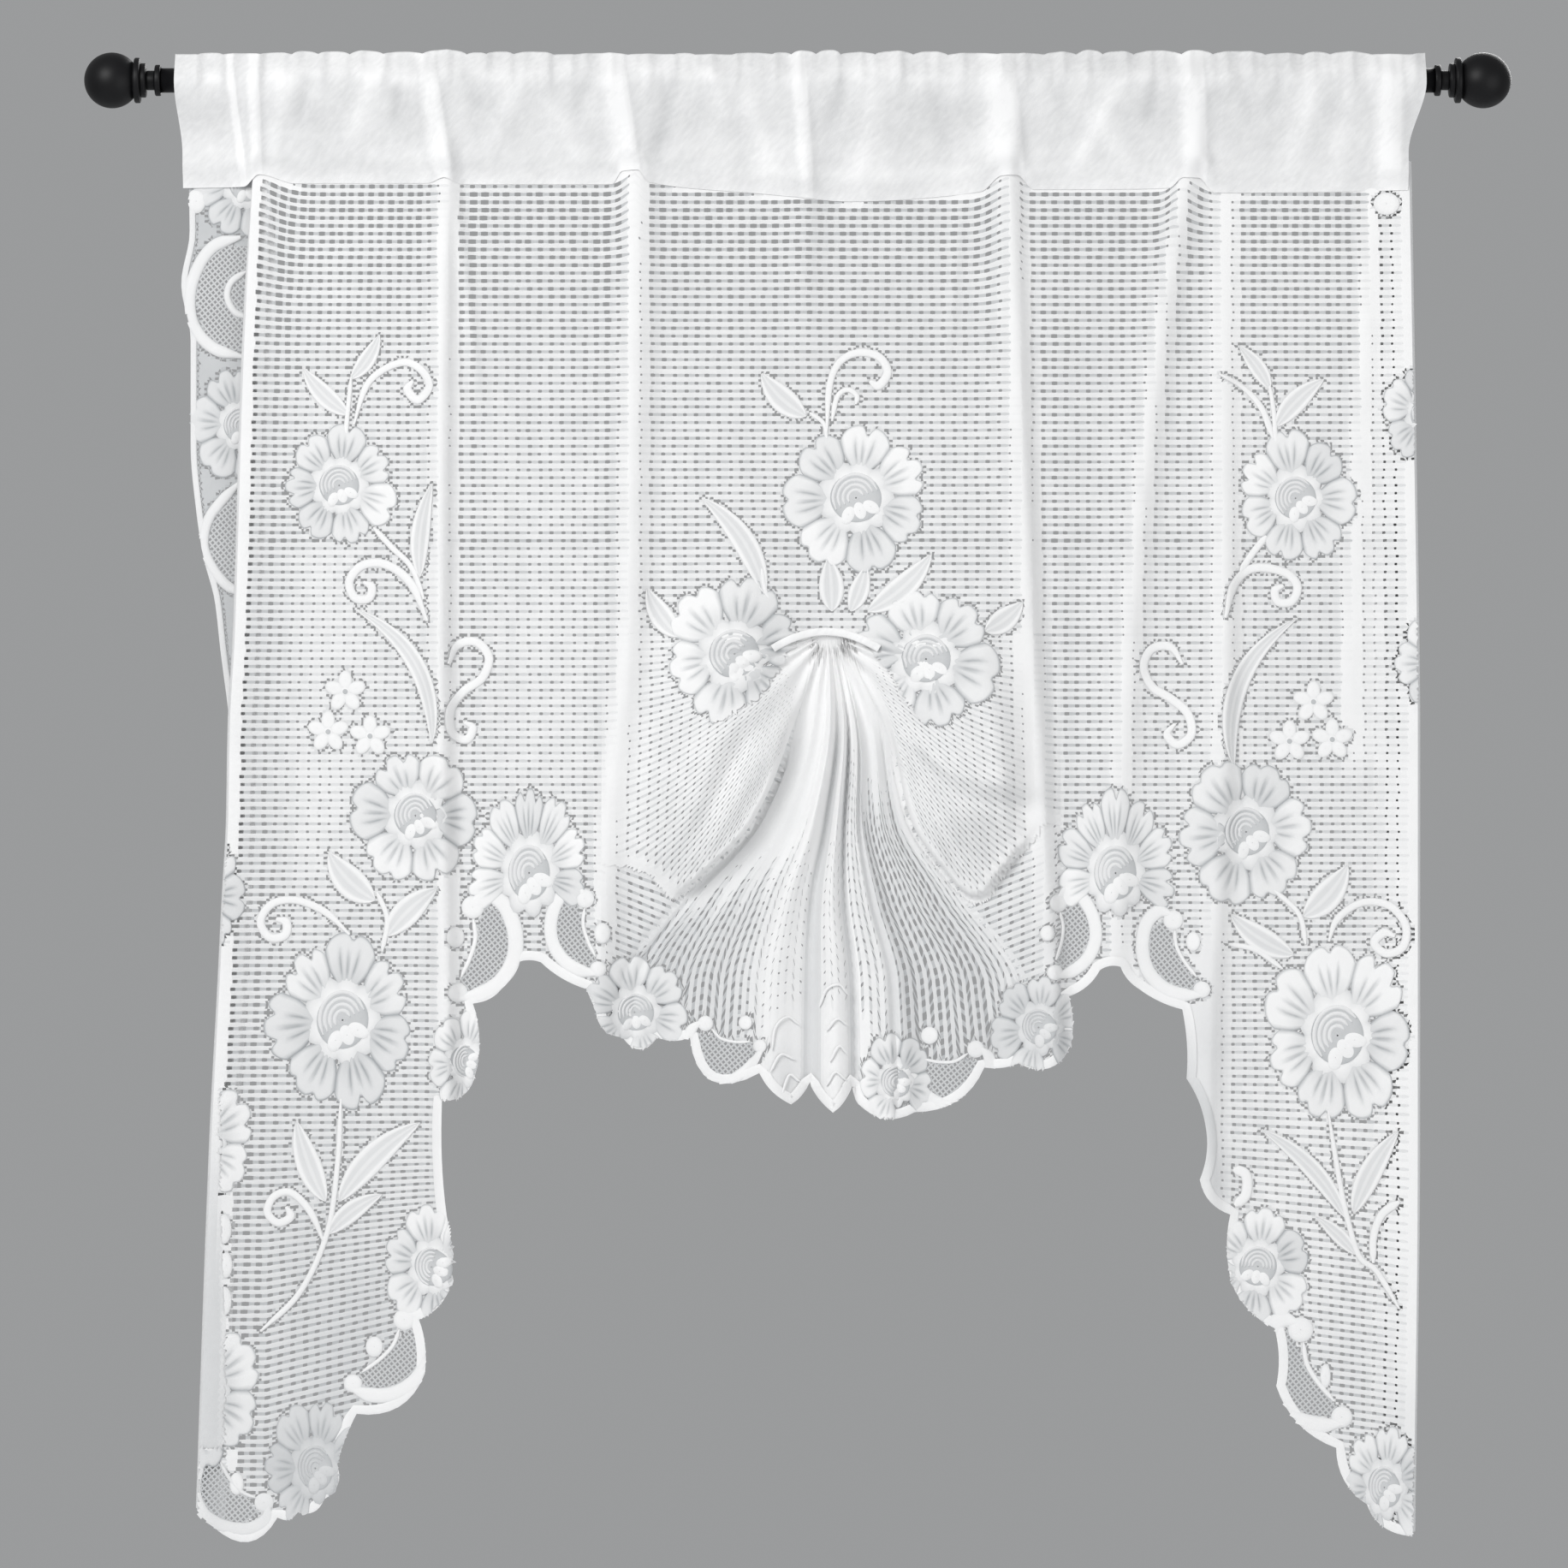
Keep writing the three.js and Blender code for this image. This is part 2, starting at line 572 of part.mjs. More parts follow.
// Heading band: a closed section from top edge to seam, run along the rod, with a bore for the rod
function headingBand() {
  const positions = [];
  const shares = headingShares();
  for (const share of shares) {
    const heights = headingHeights(share);
    for (const z of heights) positions.push(...headingPoint(share, z, -1).toArray());
    for (const z of heights.reverse()) positions.push(...headingPoint(share, z, 1).toArray());
  }
  const count = positions.length / 3 / shares.length;
  const index = [];
  for (let i = 0; i + 1 < shares.length; i += 1) {
    for (let k = 0; k < count; k += 1) {
      const next = (k + 1) % count;
      const a = i * count + k;
      const b = i * count + next;
      index.push(a, b, b + count, a, b + count, a + count);
    }
  }
  const end = (shares.length - 1) * count;
  for (let level = 0; level + 1 < count / 2; level += 1) {
    const mirror = count - 1 - level;
    index.push(level, mirror, mirror - 1, level, mirror - 1, level + 1);
    index.push(end + level, end + mirror - 1, end + mirror, end + level, end + level + 1, end + mirror - 1);
  }
  const band = new THREE.BufferGeometry();
  band.setAttribute('position', new THREE.Float32BufferAttribute(positions, 3));
  band.setIndex(index);
  const bore = new THREE.CylinderGeometry(BORE_RADIUS, BORE_RADIUS, 2 * FINIAL_END, ROD_SIDES);
  bore.rotateZ(Math.PI / 2).translate(0, 0, LOOP_CENTRE);
  return fromManifold(toManifold(band).subtract(toManifold(bore)));
}

function curtainRod() {
  const rod = new THREE.CylinderGeometry(ROD_DIAMETER / 2, ROD_DIAMETER / 2, 2 * ROD_HALF_LENGTH, ROD_SIDES);
  return rod.rotateZ(Math.PI / 2);
}

// Finial turned about the rod's axis, from the ball's pole to the socket over the rod's end
function finial(side) {
  const ballRadius = BALL_DIAMETER / 2;
  const neckAngle = Math.acos((BALL_CENTRE_FROM_END - FINIAL_RINGS[0].from) / ballRadius);
  const profile = [];
  for (let k = 0; k <= BALL_STEPS; k += 1) {
    const angle = ((Math.PI - neckAngle) * k) / BALL_STEPS;
    const radius = k === 0 ? 0 : ballRadius * Math.sin(angle);
    profile.push(new THREE.Vector2(radius, BALL_CENTRE_FROM_END + ballRadius * Math.cos(angle)));
  }
  for (const ring of FINIAL_RINGS) {
    profile.push(new THREE.Vector2(ring.radius, ring.from), new THREE.Vector2(ring.radius, ring.to));
  }
  const socketRadius = ROD_DIAMETER / 2 + CLEARANCE;
  profile.push(new THREE.Vector2(socketRadius, 0), new THREE.Vector2(socketRadius, SOCKET_DEPTH));
  profile.push(new THREE.Vector2(0, SOCKET_DEPTH));
  const turned = new THREE.LatheGeometry(profile.reverse(), FINIAL_SIDES);
  turned.rotateZ((-side * Math.PI) / 2);
  return turned.translate(side * FINIAL_END, 0, 0);
}

function tieBand() {
  const columns = [];
  for (let i = 0; i <= TIE_STEPS; i += 1) {
    const t = i / TIE_STEPS;
    const x = THREE.MathUtils.lerp(TIE_BAND.left, TIE_BAND.right, t);
    const middle = TIE_BAND.crown - TIE_BAND.drop * (2 * t - 1) ** 2;
    columns.push(
      TIE_EDGES.map((share) => {
        const z = middle + share * TIE_WIDTH;
        const cloth = hung(x, middle);
        return new THREE.Vector3(x, cloth.y - TIE_AHEAD, z);
      }),
    );
  }
  return sheetSolid(columns, TIE_THICKNESS);
}

function named(name, geometry, finish) {
  const mesh = new THREE.Mesh(geometry, new THREE.MeshStandardMaterial(finish));
  mesh.name = name;
  return mesh;
}

const group = new THREE.Group();
group.name = 'lace_curtain';
group.add(named('rod', curtainRod(), BLACK_PAINT));
group.add(named('finial_left', finial(-1), BLACK_PAINT));
group.add(named('finial_right', finial(1), BLACK_PAINT));
group.add(named('heading', headingBand(), WHITE_COTTON));
group.add(named('lace_panel', lacePanel(), WHITE_LACE));
group.add(named('tie_band', tieBand(), WHITE_COTTON));

export default group;
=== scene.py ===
"""Lace kitchen curtain on a curtain rod.

The lace is a real net of bands and bridges with open gaps, closed where flowers, leaves and the border are
worked, on the folds of the hung panel. The motifs lie on it as low relief. Tables give places in the front
view, x to the right and y down, and depths in millimetres."""
import math
from collections import namedtuple

import bpy
import numpy as np
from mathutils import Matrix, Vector


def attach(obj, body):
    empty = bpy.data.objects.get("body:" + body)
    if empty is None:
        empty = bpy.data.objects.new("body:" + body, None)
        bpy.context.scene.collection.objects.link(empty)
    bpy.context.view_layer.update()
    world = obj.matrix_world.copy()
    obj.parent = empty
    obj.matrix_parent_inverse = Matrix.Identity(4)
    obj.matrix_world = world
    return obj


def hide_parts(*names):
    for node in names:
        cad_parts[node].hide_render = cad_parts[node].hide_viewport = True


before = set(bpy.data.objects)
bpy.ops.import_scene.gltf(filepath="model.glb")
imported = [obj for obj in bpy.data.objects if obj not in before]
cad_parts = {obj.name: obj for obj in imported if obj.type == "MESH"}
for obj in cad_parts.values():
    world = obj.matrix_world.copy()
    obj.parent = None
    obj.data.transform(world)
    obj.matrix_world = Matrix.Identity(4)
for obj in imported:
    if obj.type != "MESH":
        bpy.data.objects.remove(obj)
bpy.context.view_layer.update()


def table(kind, *rows):
    """Rows of a table with named columns"""
    return [kind(*row) for row in rows]


# Front view and scale
MM_PER_UNIT = 0.56
ROD_VIEW_X = 932
ROD_VIEW_Y = 94
VIEW_SIZE = 1832
MM_PER_METRE = 1000
TINY = 1e-6


def view_x(x):
    return (x - ROD_VIEW_X) * MM_PER_UNIT


def view_z(y):
    return (ROD_VIEW_Y - y) * MM_PER_UNIT


def view_of(x):
    """Front view place of an x in millimetres"""
    return x / MM_PER_UNIT + ROD_VIEW_X


# Fold lines of the hung lace: the x of each at the levels below
LINE_LEVELS = (183, 420, 740, 850, 960, 1050, 1150, 1320, 1815)
FOLD_LINES = {
    "leftEdge": (298, 285, 275, 269, 267, 262, 257, 248, 230),
    "leftRidge": (523, 517, 515, 516, 517, 519, 521, 522, 523),
    "swagLeft": (743, 738, 733, 722, 710, 704, 698, 696, 694),
    "fanLeft": (890, 900, 948, 925, 878, 792, 722, 706, 704),
    "fanRight": (1050, 1040, 998, 1040, 1066, 1130, 1200, 1216, 1218),
    "swagRight": (1178, 1188, 1203, 1210, 1217, 1222, 1228, 1232, 1234),
    "rightRidge": (1388, 1350, 1318, 1312, 1306, 1303, 1300, 1300, 1300),
    "rightSoft": (1430, 1428, 1430, 1428, 1424, 1420, 1414, 1410, 1410),
    "rightCrease": (1604, 1594, 1577, 1575, 1578, 1580, 1580, 1580, 1580),
    "rightEdge": (1646, 1650, 1655, 1656, 1656, 1656, 1656, 1656, 1650),
}

# Ridges along those lines: how far each stands towards the room at the seam, the tie and the foot, the half
# width of its left and right flank, and how much of the net closes on its crest over how many view units
Ridge = namedtuple("Ridge", "line seam tie foot left right closes crest")
RIDGES = table(
    Ridge,
    ("leftEdge", 5, 7, 6, 16, 16, 0.5, 6),
    ("leftRidge", 8, 13, 8, 11, 7, 1.0, 15),
    ("swagLeft", 8, 13, 6, 12, 13, 0.95, 15),
    ("swagRight", 9, 14, 6, 20, 8, 0.95, 17),
    ("rightRidge", 8, 8, 3, 14, 11, 0.8, 13),
    ("rightSoft", 1, 9, 7, 16, 9, 0.85, 18),
    ("rightEdge", 5, 7, 6, 18, 18, 1.0, 20),
)
CENTRE_RIDGE_X = view_x(938)
CENTRE_RIDGE_DEPTH = 5.5
CENTRE_RIDGE_HALF = 13
CENTRE_RIDGE_FADES = (view_z(230), view_z(480))
RIDGE_STARTS = -14
SEAM_Z = view_z(218)
FOOT_Z = view_z(1700)
HOLLOW = 3.5

# Swag: a pouch billows forward on each side of the tie, the left value first, and steps back to the fan
TIE_VIEW = (967, 740)
TIE_X = view_x(TIE_VIEW[0])
TIE_Z = view_z(TIE_VIEW[1])
SWAG_DEPTH = 27
SWAG_GROWS = (view_z(430), view_z(940))
SWAG_TIE_REACH = 46
SWAG_SHOULDERS = (0.6, 0.32)
POUCH_STEP = 2.6
POUCH_STEP_AT_TIE = 15
POUCH_STEP_FIRMS = (view_z(790), view_z(930))
POUCH_LEAN = 2.6
POUCH_CORNER = 20
POUCH_FULL = 42
POUCH_EDGE_SHARE = 0.6
POUCH_SOFT_STEPS = (13, 2.6)
POUCH_LOWER_SHARES = (0.45, 0.4)
POUCH_LOWER_FULL = 55
POUCH_LEFT = (view_z(1004), view_z(1064))
POUCH_RIGHT = (view_z(956), view_z(1066))
POUCH_BOWS = (2, 0.7)
LIP_SCALE = 6 * math.sqrt(3)
FAN_BACK = 2
FAN_TOP = (TIE_Z + 5, TIE_Z - 12)

# Pleats by their place across the fan. The narrow ones of negative depth are the creases between them
Pleat = namedtuple("Pleat", "at half depth")
PLEATS = table(
    Pleat,
    (0.05, 0.05, 1), (0.2, 0.06, 2), (0.38, 0.06, 11), (0.53, 0.045, 13), (0.66, 0.055, 12), (0.82, 0.05, 4),
    (0.95, 0.05, 2), (0.045, 0.014, -2), (0.33, 0.014, -2), (0.47, 0.016, -4.5), (0.574, 0.009, -5),
    (0.672, 0.012, -4), (0.9, 0.014, -2),
)
PLEAT_RISE = 95

# Single creases from one place to another, outwards or inwards by a depth
Crease = namedtuple("Crease", "x0 y0 x1 y1 depth half")
PANEL_CREASES = table(
    Crease,
    (532, 215, 560, 470, 2.0, 4.0), (722, 230, 694, 480, 2.0, 5.0), (1124, 225, 1106, 430, 1.6, 4.0),
    (1604, 215, 1593, 480, 2.2, 7.0), (1593, 420, 1576, 860, 1.6, 8.0), (1258, 640, 1262, 1000, -1.5, 9.0),
    (620, 420, 612, 900, -1.6, 12.0), (400, 1420, 330, 1640, -2.5, 16.0),
)
POUCH_CREASES = table(
    Crease,
    (876, 846, 812, 990, -5.0, 9.0), (908, 850, 800, 1030, 3.0, 9.0), (1060, 858, 1118, 910, 3.5, 5.0),
    (1108, 900, 1216, 926, 3.0, 6.0), (1112, 930, 1210, 948, -3.0, 7.0), (1064, 880, 1130, 1020, -3.0, 8.0),
    (1040, 850, 1118, 1050, 2.0, 6.0),
)
CREASE_STARTS = (-0.15, 0.25)
CREASE_ENDS = (1.15, 0.75)
GATHER_COUNT = 24
GATHER_DEPTH = 1.1
GATHER_REACH = (14, 40, 150)
GATHER_BELOW = (2, -8)
GATHER_UNEVEN = (1.5, 5)

# Side borders: folded behind on the left and out again, turned behind on the right
Turn = namedtuple("Turn", "across back")
LEFT_TURN = table(
    Turn, (0, 0), (-1.8, 2.6), (1.5, 5.4), (8, 6.2), (14.5, 6.8), (17.4, 9.4), (14.5, 12), (7, 12.6)
)
RIGHT_TURN = table(Turn, (0, 0), (1.8, 2.6), (-1.5, 5.4), (-9, 6.2), (-18, 6.8), (-27, 7.2))
STRIP_BEHIND = 8
LEFT_TURN_OPENS = (-40, -130)
LEFT_TURN_LEAST = 0.45
SELVEDGE_LEVELS = (183, 270, 330, 395, 520, 600, 650, 700, 760, 830, 880, 1815)
SELVEDGE = (219, 220, 210, 221, 221, 228, 236, 249, 256, 265, 270, 244)

# Seam between heading and lace: places across, each with its level
SEAM = (
    (190, 219), (285, 218), (303, 204), (345, 214), (500, 214), (519, 208), (538, 215), (715, 215),
    (727, 200), (745, 199), (758, 213), (890, 226), (993, 235), (1146, 224), (1170, 206),
    (1188, 205), (1208, 221), (1366, 220), (1382, 208), (1400, 208), (1420, 225), (1680, 222),
)
SEAM_PLACES, SEAM_LEVELS = zip(*SEAM)

# Hem: scallop corners from the left tail to the right tail, each with the bow of the edge that leads to it
Corner = namedtuple("Corner", "x y bow")
HEM = table(
    Corner,
    (200, 1725, 0), (249, 1783, 6), (324, 1773, 24), (347, 1767, 6), (378, 1752, 8), (393, 1712, 9),
    (416, 1652, -2), (496, 1605, 18), (489, 1542, 4), (524, 1508, 5), (522, 1420, 4), (517, 1285, -3),
    (553, 1262, 8), (552, 1172, 7), (588, 1152, 5), (607, 1123, 3), (632, 1124, -2), (686, 1155, 4),
    (697, 1180, 0), (727, 1212, 9), (768, 1212, 14), (806, 1212, 4), (888, 1253, 34), (925, 1290, 5),
    (946, 1264, 2), (974, 1299, 3), (996, 1264, 3), (1004, 1290, 3), (1068, 1299, 12), (1150, 1247, 16),
    (1190, 1242, 3), (1250, 1222, 16), (1248, 1164, 4), (1285, 1133, 5), (1309, 1129, -3), (1331, 1155, 3),
    (1382, 1179, 3), (1387, 1260, -3), (1408, 1312, -3), (1402, 1378, -5), (1438, 1419, 8), (1440, 1500, 5),
    (1490, 1552, 7), (1492, 1620, -4), (1562, 1692, 12), (1598, 1758, 10), (1632, 1791, 6), (1690, 1793, 3),
)
HEM_STEPS = 8
HEM_ABOVE = -100

# Net: the lines of a cell along and across a band, the unevenness of its gaps, and its tones
ROW_PITCH = 9.2
GAP_PITCH = 13.0
GAP_LINES = (0.0, 0.23, 0.46, 0.73)
BAND_LINES = (0.0, 0.4, 0.7)
NET_SEED = 5
GAP_SHIFT = 0.1
GAP_UNEVEN = 0.14
GAP_BULGE = 0.03
GAP_LEAST = 0.3
GAP_MOST = 1.5
GAP_TALL = 0.7
BAND_LIFT = 0.35
BAND_LIFT_LEAST = 0.15
BAND_TONE = 0.79
BRIDGE_TONE = 0.28
BRIDGE_SIZES = (0.15, 0.95)
CLOSED_TONE = 0.97
SOLID_TONE = 0.8
RING_TONE = 0.7
RING_WIDTH = 3.4
PANEL_TOP = 188
PANEL_FOOT = 1812
GUIDE_LEFT = 510
GUIDE_RIGHT = 1400
FAN_BANDS = 54
FAN_GAP_PITCH = 13.8
FAN_HEAD = TIE_VIEW[1]
FAN_FOOT = 1316
POUCH_SIDE_CELLS = (14 + GAP_LINES[3], 55 + GAP_LINES[3])
POUCH_GATHER = 1.6
OPEN_LEVELS = (190, 260, 340, 460, 900, 1200, 1800)
OPEN_SIZES = (1.25, 1.2, 0.98, 0.8, 0.7, 0.85, 0.95)
OPEN_FADE = 60
PACKING_CREASE_Y = 630
PACKING_CREASE_HALF = 6
PACKING_CREASE_OPENS = 0.35
PROBE = 0.4


def smooth(start, end, value):
    t = np.clip((value - start) / (end - start), 0, 1)
    return t * t * (3 - 2 * t)


def bump(t):
    return np.exp(-t * t)


def flanked(off, left, right):
    """Bump with a half width of its own on each side"""
    return bump(off / np.where(off < 0, left, right))


def lerp(start, end, share):
    return start + (end - start) * share


def reading(places, values, place):
    """Smooth reading of a table of places and values, with no overshoot between its rows"""
    places = np.asarray(places, float)
    values = np.asarray(values, float)
    steps = np.diff(values) / np.diff(places)
    product = steps[:-1] * steps[1:]
    total = np.where(product > 0, steps[:-1] + steps[1:], 1)
    slopes = np.concatenate([steps[:1], np.where(product > 0, 2 * product / total, 0), steps[-1:]])
    k = np.clip(np.searchsorted(places, place) - 1, 0, len(steps) - 1)
    width = places[k + 1] - places[k]
    t = np.clip((place - places[k]) / width, 0, 1)
    start = values[k] * (1 + 2 * t) * (1 - t) ** 2 + slopes[k] * width * t * (1 - t) ** 2
    end = values[k + 1] * t * t * (3 - 2 * t) + slopes[k + 1] * width * t * t * (t - 1)
    return start + end


LINE_DROPS = [-view_z(y) for y in LINE_LEVELS]
LINE_XS = {name: [view_x(x) for x in xs] for name, xs in FOLD_LINES.items()}
SELVEDGE_DROPS = [-view_z(y) for y in SELVEDGE_LEVELS]
SELVEDGE_XS = [view_x(x) for x in SELVEDGE]


def line_x(name, z):
    return reading(LINE_DROPS, LINE_XS[name], -z)


def ridge_height(ridge, z):
    upper = lerp(ridge.seam, ridge.tie, (np.minimum(z, SEAM_Z) - SEAM_Z) / (TIE_Z - SEAM_Z))
    lower = lerp(ridge.tie, ridge.foot, (np.maximum(z, FOOT_Z) - TIE_Z) / (FOOT_Z - TIE_Z))
    return np.where(z > TIE_Z, upper, lower)


def ridge_depth(x, z):
    centre = bump((x - CENTRE_RIDGE_X) / CENTRE_RIDGE_HALF)
    depth = CENTRE_RIDGE_DEPTH * (1 - smooth(*CENTRE_RIDGE_FADES, z)) * centre
    for ridge in RIDGES:
        off = x - line_x(ridge.line, z)
        depth = depth + ridge_height(ridge, z) * flanked(off, ridge.left, ridge.right)
    return depth * smooth(RIDGE_STARTS, SEAM_Z, z)


SwagPlace = namedtuple("SwagPlace", "on_left outside in_fan pouch cover to_side down lateral fan")


def round_corner(outside, above):
    """How far inside a pouch's rounded corner a place lies, and how much its edge faces sideways and down"""
    to_corner_x = np.maximum(POUCH_CORNER - outside, 0)
    to_corner_z = np.maximum(POUCH_CORNER - above, 0)
    from_corner = np.hypot(to_corner_x, to_corner_z)
    reach = np.maximum(from_corner, TINY)
    return POUCH_CORNER - from_corner, to_corner_x / reach, to_corner_z / reach


def swag_place(x, z):
    """Where a point lies in the swag: on which side, how far outside the fan and how far inside a pouch"""
    fan_left = line_x("fanLeft", z)
    fan_right = line_x("fanRight", z)
    swag_left = line_x("swagLeft", z)
    swag_right = line_x("swagRight", z)
    on_left = x < (fan_left + fan_right) / 2
    outside = np.where(on_left, fan_left - x, x - fan_right)
    from_left = (x - swag_left) / (fan_left - swag_left)
    from_right = (swag_right - x) / (swag_right - fan_right)
    across = np.where(on_left, from_left, from_right)
    inward = np.clip(across, 0, 1)
    low_left = lerp(*POUCH_LEFT, inward ** POUCH_BOWS[0])
    low_right = lerp(*POUCH_RIGHT, inward ** POUCH_BOWS[1])
    above = z - np.where(on_left, low_left, low_right)
    pouch, to_side, down = round_corner(outside, above)
    step = lerp(POUCH_STEP_AT_TIE, POUCH_STEP, smooth(*POUCH_STEP_FIRMS, z))
    edge_step = lerp(step, np.where(on_left, *POUCH_SOFT_STEPS), down**2)
    head = smooth(*FAN_TOP, z)
    in_fan = head * smooth(step, -step, outside)
    cover = 1 - head * smooth(edge_step, -edge_step, pouch)
    shoulder = smooth(0, np.where(on_left, *SWAG_SHOULDERS), across)
    by_fan = lerp(POUCH_EDGE_SHARE, 1, smooth(0, POUCH_FULL, outside))
    by_foot = lerp(np.where(on_left, *POUCH_LOWER_SHARES), 1, smooth(0, POUCH_LOWER_FULL, above))
    fan = np.clip((x - fan_left) / (fan_right - fan_left), 0, 1)
    return SwagPlace(on_left, outside, in_fan, pouch, cover, to_side, down, shoulder * by_fan * by_foot, fan)


def swag_at(x, y):
    """Where a place of the front view lies in the swag"""
    return swag_place(view_x(x), view_z(y))


def fan_depth(z, place):
    risen = smooth(TIE_Z, TIE_Z - PLEAT_RISE, z)
    depth = -FAN_BACK
    for pleat in PLEATS:
        depth = depth + risen * pleat.depth * bump((place.fan - pleat.at) / pleat.half)
    return depth * place.in_fan


def crease_depth(creases, x, z):
    """How far listed creases stand towards the room, each along a line between two places"""
    depth = 0
    for crease in creases:
        start_x, start_z = view_x(crease.x0), view_z(crease.y0)
        along_x, along_z = view_x(crease.x1) - start_x, view_z(crease.y1) - start_z
        length = math.hypot(along_x, along_z)
        t = ((x - start_x) * along_x + (z - start_z) * along_z) / length**2
        off = ((x - start_x) * along_z - (z - start_z) * along_x) / length
        fade = smooth(*CREASE_STARTS, t) * smooth(*CREASE_ENDS, t)
        depth = depth + crease.depth * fade * bump(off / crease.half)
    return depth


def gather_depth(x, z):
    """Small gathers that spread downwards from the tie"""
    near, full, far = GATHER_REACH
    distance = np.hypot(x - TIE_X, z - TIE_Z)
    angle = np.arctan2(x - TIE_X, TIE_Z - z)
    fade = smooth(near / 2, near, distance) * smooth(far, full, distance) * smooth(*GATHER_BELOW, z - TIE_Z)
    sway, turns = GATHER_UNEVEN
    return GATHER_DEPTH * fade * np.sin(GATHER_COUNT * angle + sway * np.sin(turns * angle))


def lip(step):
    """Lean of the pouch's lip over a step that runs from 0 to 1"""
    return LIP_SCALE * step * (1 - step) * (2 * step - 1)


def hung(x, z):
    """Points of the hung lace, in millimetres, moved towards the room by its folds"""
    place = swag_place(x, z)
    clear_of_tie = 1 - bump(np.hypot(x - TIE_X, z - TIE_Z) / SWAG_TIE_REACH)
    size = smooth(*SWAG_GROWS, z) * place.lateral * clear_of_tie
    depth = ridge_depth(x, z) + SWAG_DEPTH * size * place.cover + fan_depth(z, place)
    depth = depth + crease_depth(PANEL_CREASES, x, z) + gather_depth(x, z)
    depth = depth + crease_depth(POUCH_CREASES, x, z) * place.cover
    side = np.where(place.on_left, 1, -1)
    lean = POUCH_LEAN * size * lip(place.cover)
    return np.stack([x + side * lean * place.to_side, HOLLOW - depth, z - lean * place.down], axis=-1)


def metres(points):
    return points / MM_PER_METRE


def on_cloth(x, y, lift):
    """Points on the hung lace, in metres, at places of the front view and so many millimetres off it"""
    x = view_x(x)
    z = view_z(y)
    across = hung(x + PROBE, z) - hung(x - PROBE, z)
    down = hung(x, z - PROBE) - hung(x, z + PROBE)
    normal = np.cross(down, across)
    normal /= np.linalg.norm(normal, axis=-1, keepdims=True)
    return metres(hung(x, z) + normal * np.asarray(lift)[..., None])


def left_turn_open(z):
    return lerp(LEFT_TURN_LEAST, 1, smooth(*LEFT_TURN_OPENS, z))


def turn_offsets(turns, share):
    """Smooth offsets along a turned border at shares from its front edge to its last point"""
    places = np.linspace(0, 1, len(turns))
    across = reading(places, [turn.across for turn in turns], share)
    back = reading(places, [turn.back for turn in turns], share)
    return across, back


def strip_point(share, z):
    """Points of the strip that shows beside the left edge, from its inner fold (0) to its selvedge (1)"""
    opened = left_turn_open(z)
    edge = hung(line_x("leftEdge", z), z)
    inner = LEFT_TURN[-1]
    x = lerp(edge[..., 0] + inner.across * opened, reading(SELVEDGE_DROPS, SELVEDGE_XS, -z), share)
    y = lerp(edge[..., 1] + inner.back * opened, HOLLOW + STRIP_BEHIND * opened, share)
    return np.stack([x, y, z], axis=-1)


def strip_sides(z):
    """The x of the strip's inner fold and of its selvedge"""
    return strip_point(np.zeros_like(z), z)[..., 0], strip_point(np.ones_like(z), z)[..., 0]


def on_strip(x, y, lift):
    """Points on the strip beside the left edge, at places of the front view"""
    z = view_z(y)
    inner, selvedge = strip_sides(z)
    points = strip_point((view_x(x) - inner) / (selvedge - inner), z)
    points[..., 1] -= lift
    return metres(points)


def round_turn(line, turns, unit, z, opened):
    """Points round a turned border, from the edge (0) to its last point (1)"""
    across, back = turn_offsets(turns, unit)
    edge = hung(line_x(line, z), z)
    return np.stack([edge[..., 0] + across * opened, edge[..., 1] + back * opened, z], axis=-1)


def on_left_border(unit, y, lift):
    z = view_z(y)
    points = round_turn("leftEdge", LEFT_TURN, unit, z, left_turn_open(z))
    points[..., 1] -= lift
    return metres(points)


def on_right_border(unit, y, lift):
    points = round_turn("rightEdge", RIGHT_TURN, unit, view_z(y), 1)
    points[..., 1] += lift
    return metres(points)


# Curves, areas and patches in the front view
Patch = namedtuple("Patch", "points lift tone faces outline")
EDGE_LIFT = 0.45


def curve_through(points, steps):
    """Smooth curve through a few places"""
    points = np.asarray(points, float)
    ends = np.vstack([2 * points[0] - points[1], points, 2 * points[-1] - points[-2]])
    t = np.linspace(0, 1, steps, endpoint=False)[:, None]
    pieces = []
    for before, start, end, after in zip(ends, ends[1:], ends[2:], ends[3:]):
        bend = (2 * before - 5 * start + 4 * end - after) * t**2
        twist = (3 * start - 3 * end + after - before) * t**3
        pieces.append(start + ((end - before) * t + bend + twist) / 2)
    return np.vstack([*pieces, points[-1:]])


def hem_curve():
    pieces = [np.array([[HEM[0].x, HEM[0].y]], float)]
    t = np.arange(1, HEM_STEPS + 1)[:, None] / HEM_STEPS
    for start, end in zip(HEM, HEM[1:]):
        along = np.array([end.x - start.x, end.y - start.y], float)
        outward = np.array([-along[1], along[0]]) / np.hypot(*along)
        pieces.append(np.array([start.x, start.y]) + along * t + outward * end.bow * 4 * t * (1 - t))
    return np.vstack(pieces)


def inside_area(outline, x, y):
    inside = np.zeros(x.shape, bool)
    for (x0, y0), (x1, y1) in zip(outline, np.roll(outline, -1, axis=0)):
        if y0 == y1:
            continue
        crosses = (y0 > y) != (y1 > y)
        inside ^= crosses & (x < x0 + (x1 - x0) * (y - y0) / (y1 - y0))
    return inside


def distance_to(path, x, y):
    nearest = np.full(x.shape, np.inf)
    for (x0, y0), (x1, y1) in zip(path, path[1:]):
        dx, dy = x1 - x0, y1 - y0
        t = np.clip(((x - x0) * dx + (y - y0) * dy) / max(dx * dx + dy * dy, TINY), 0, 1)
        nearest = np.minimum(nearest, np.hypot(x - x0 - t * dx, y - y0 - t * dy))
    return nearest


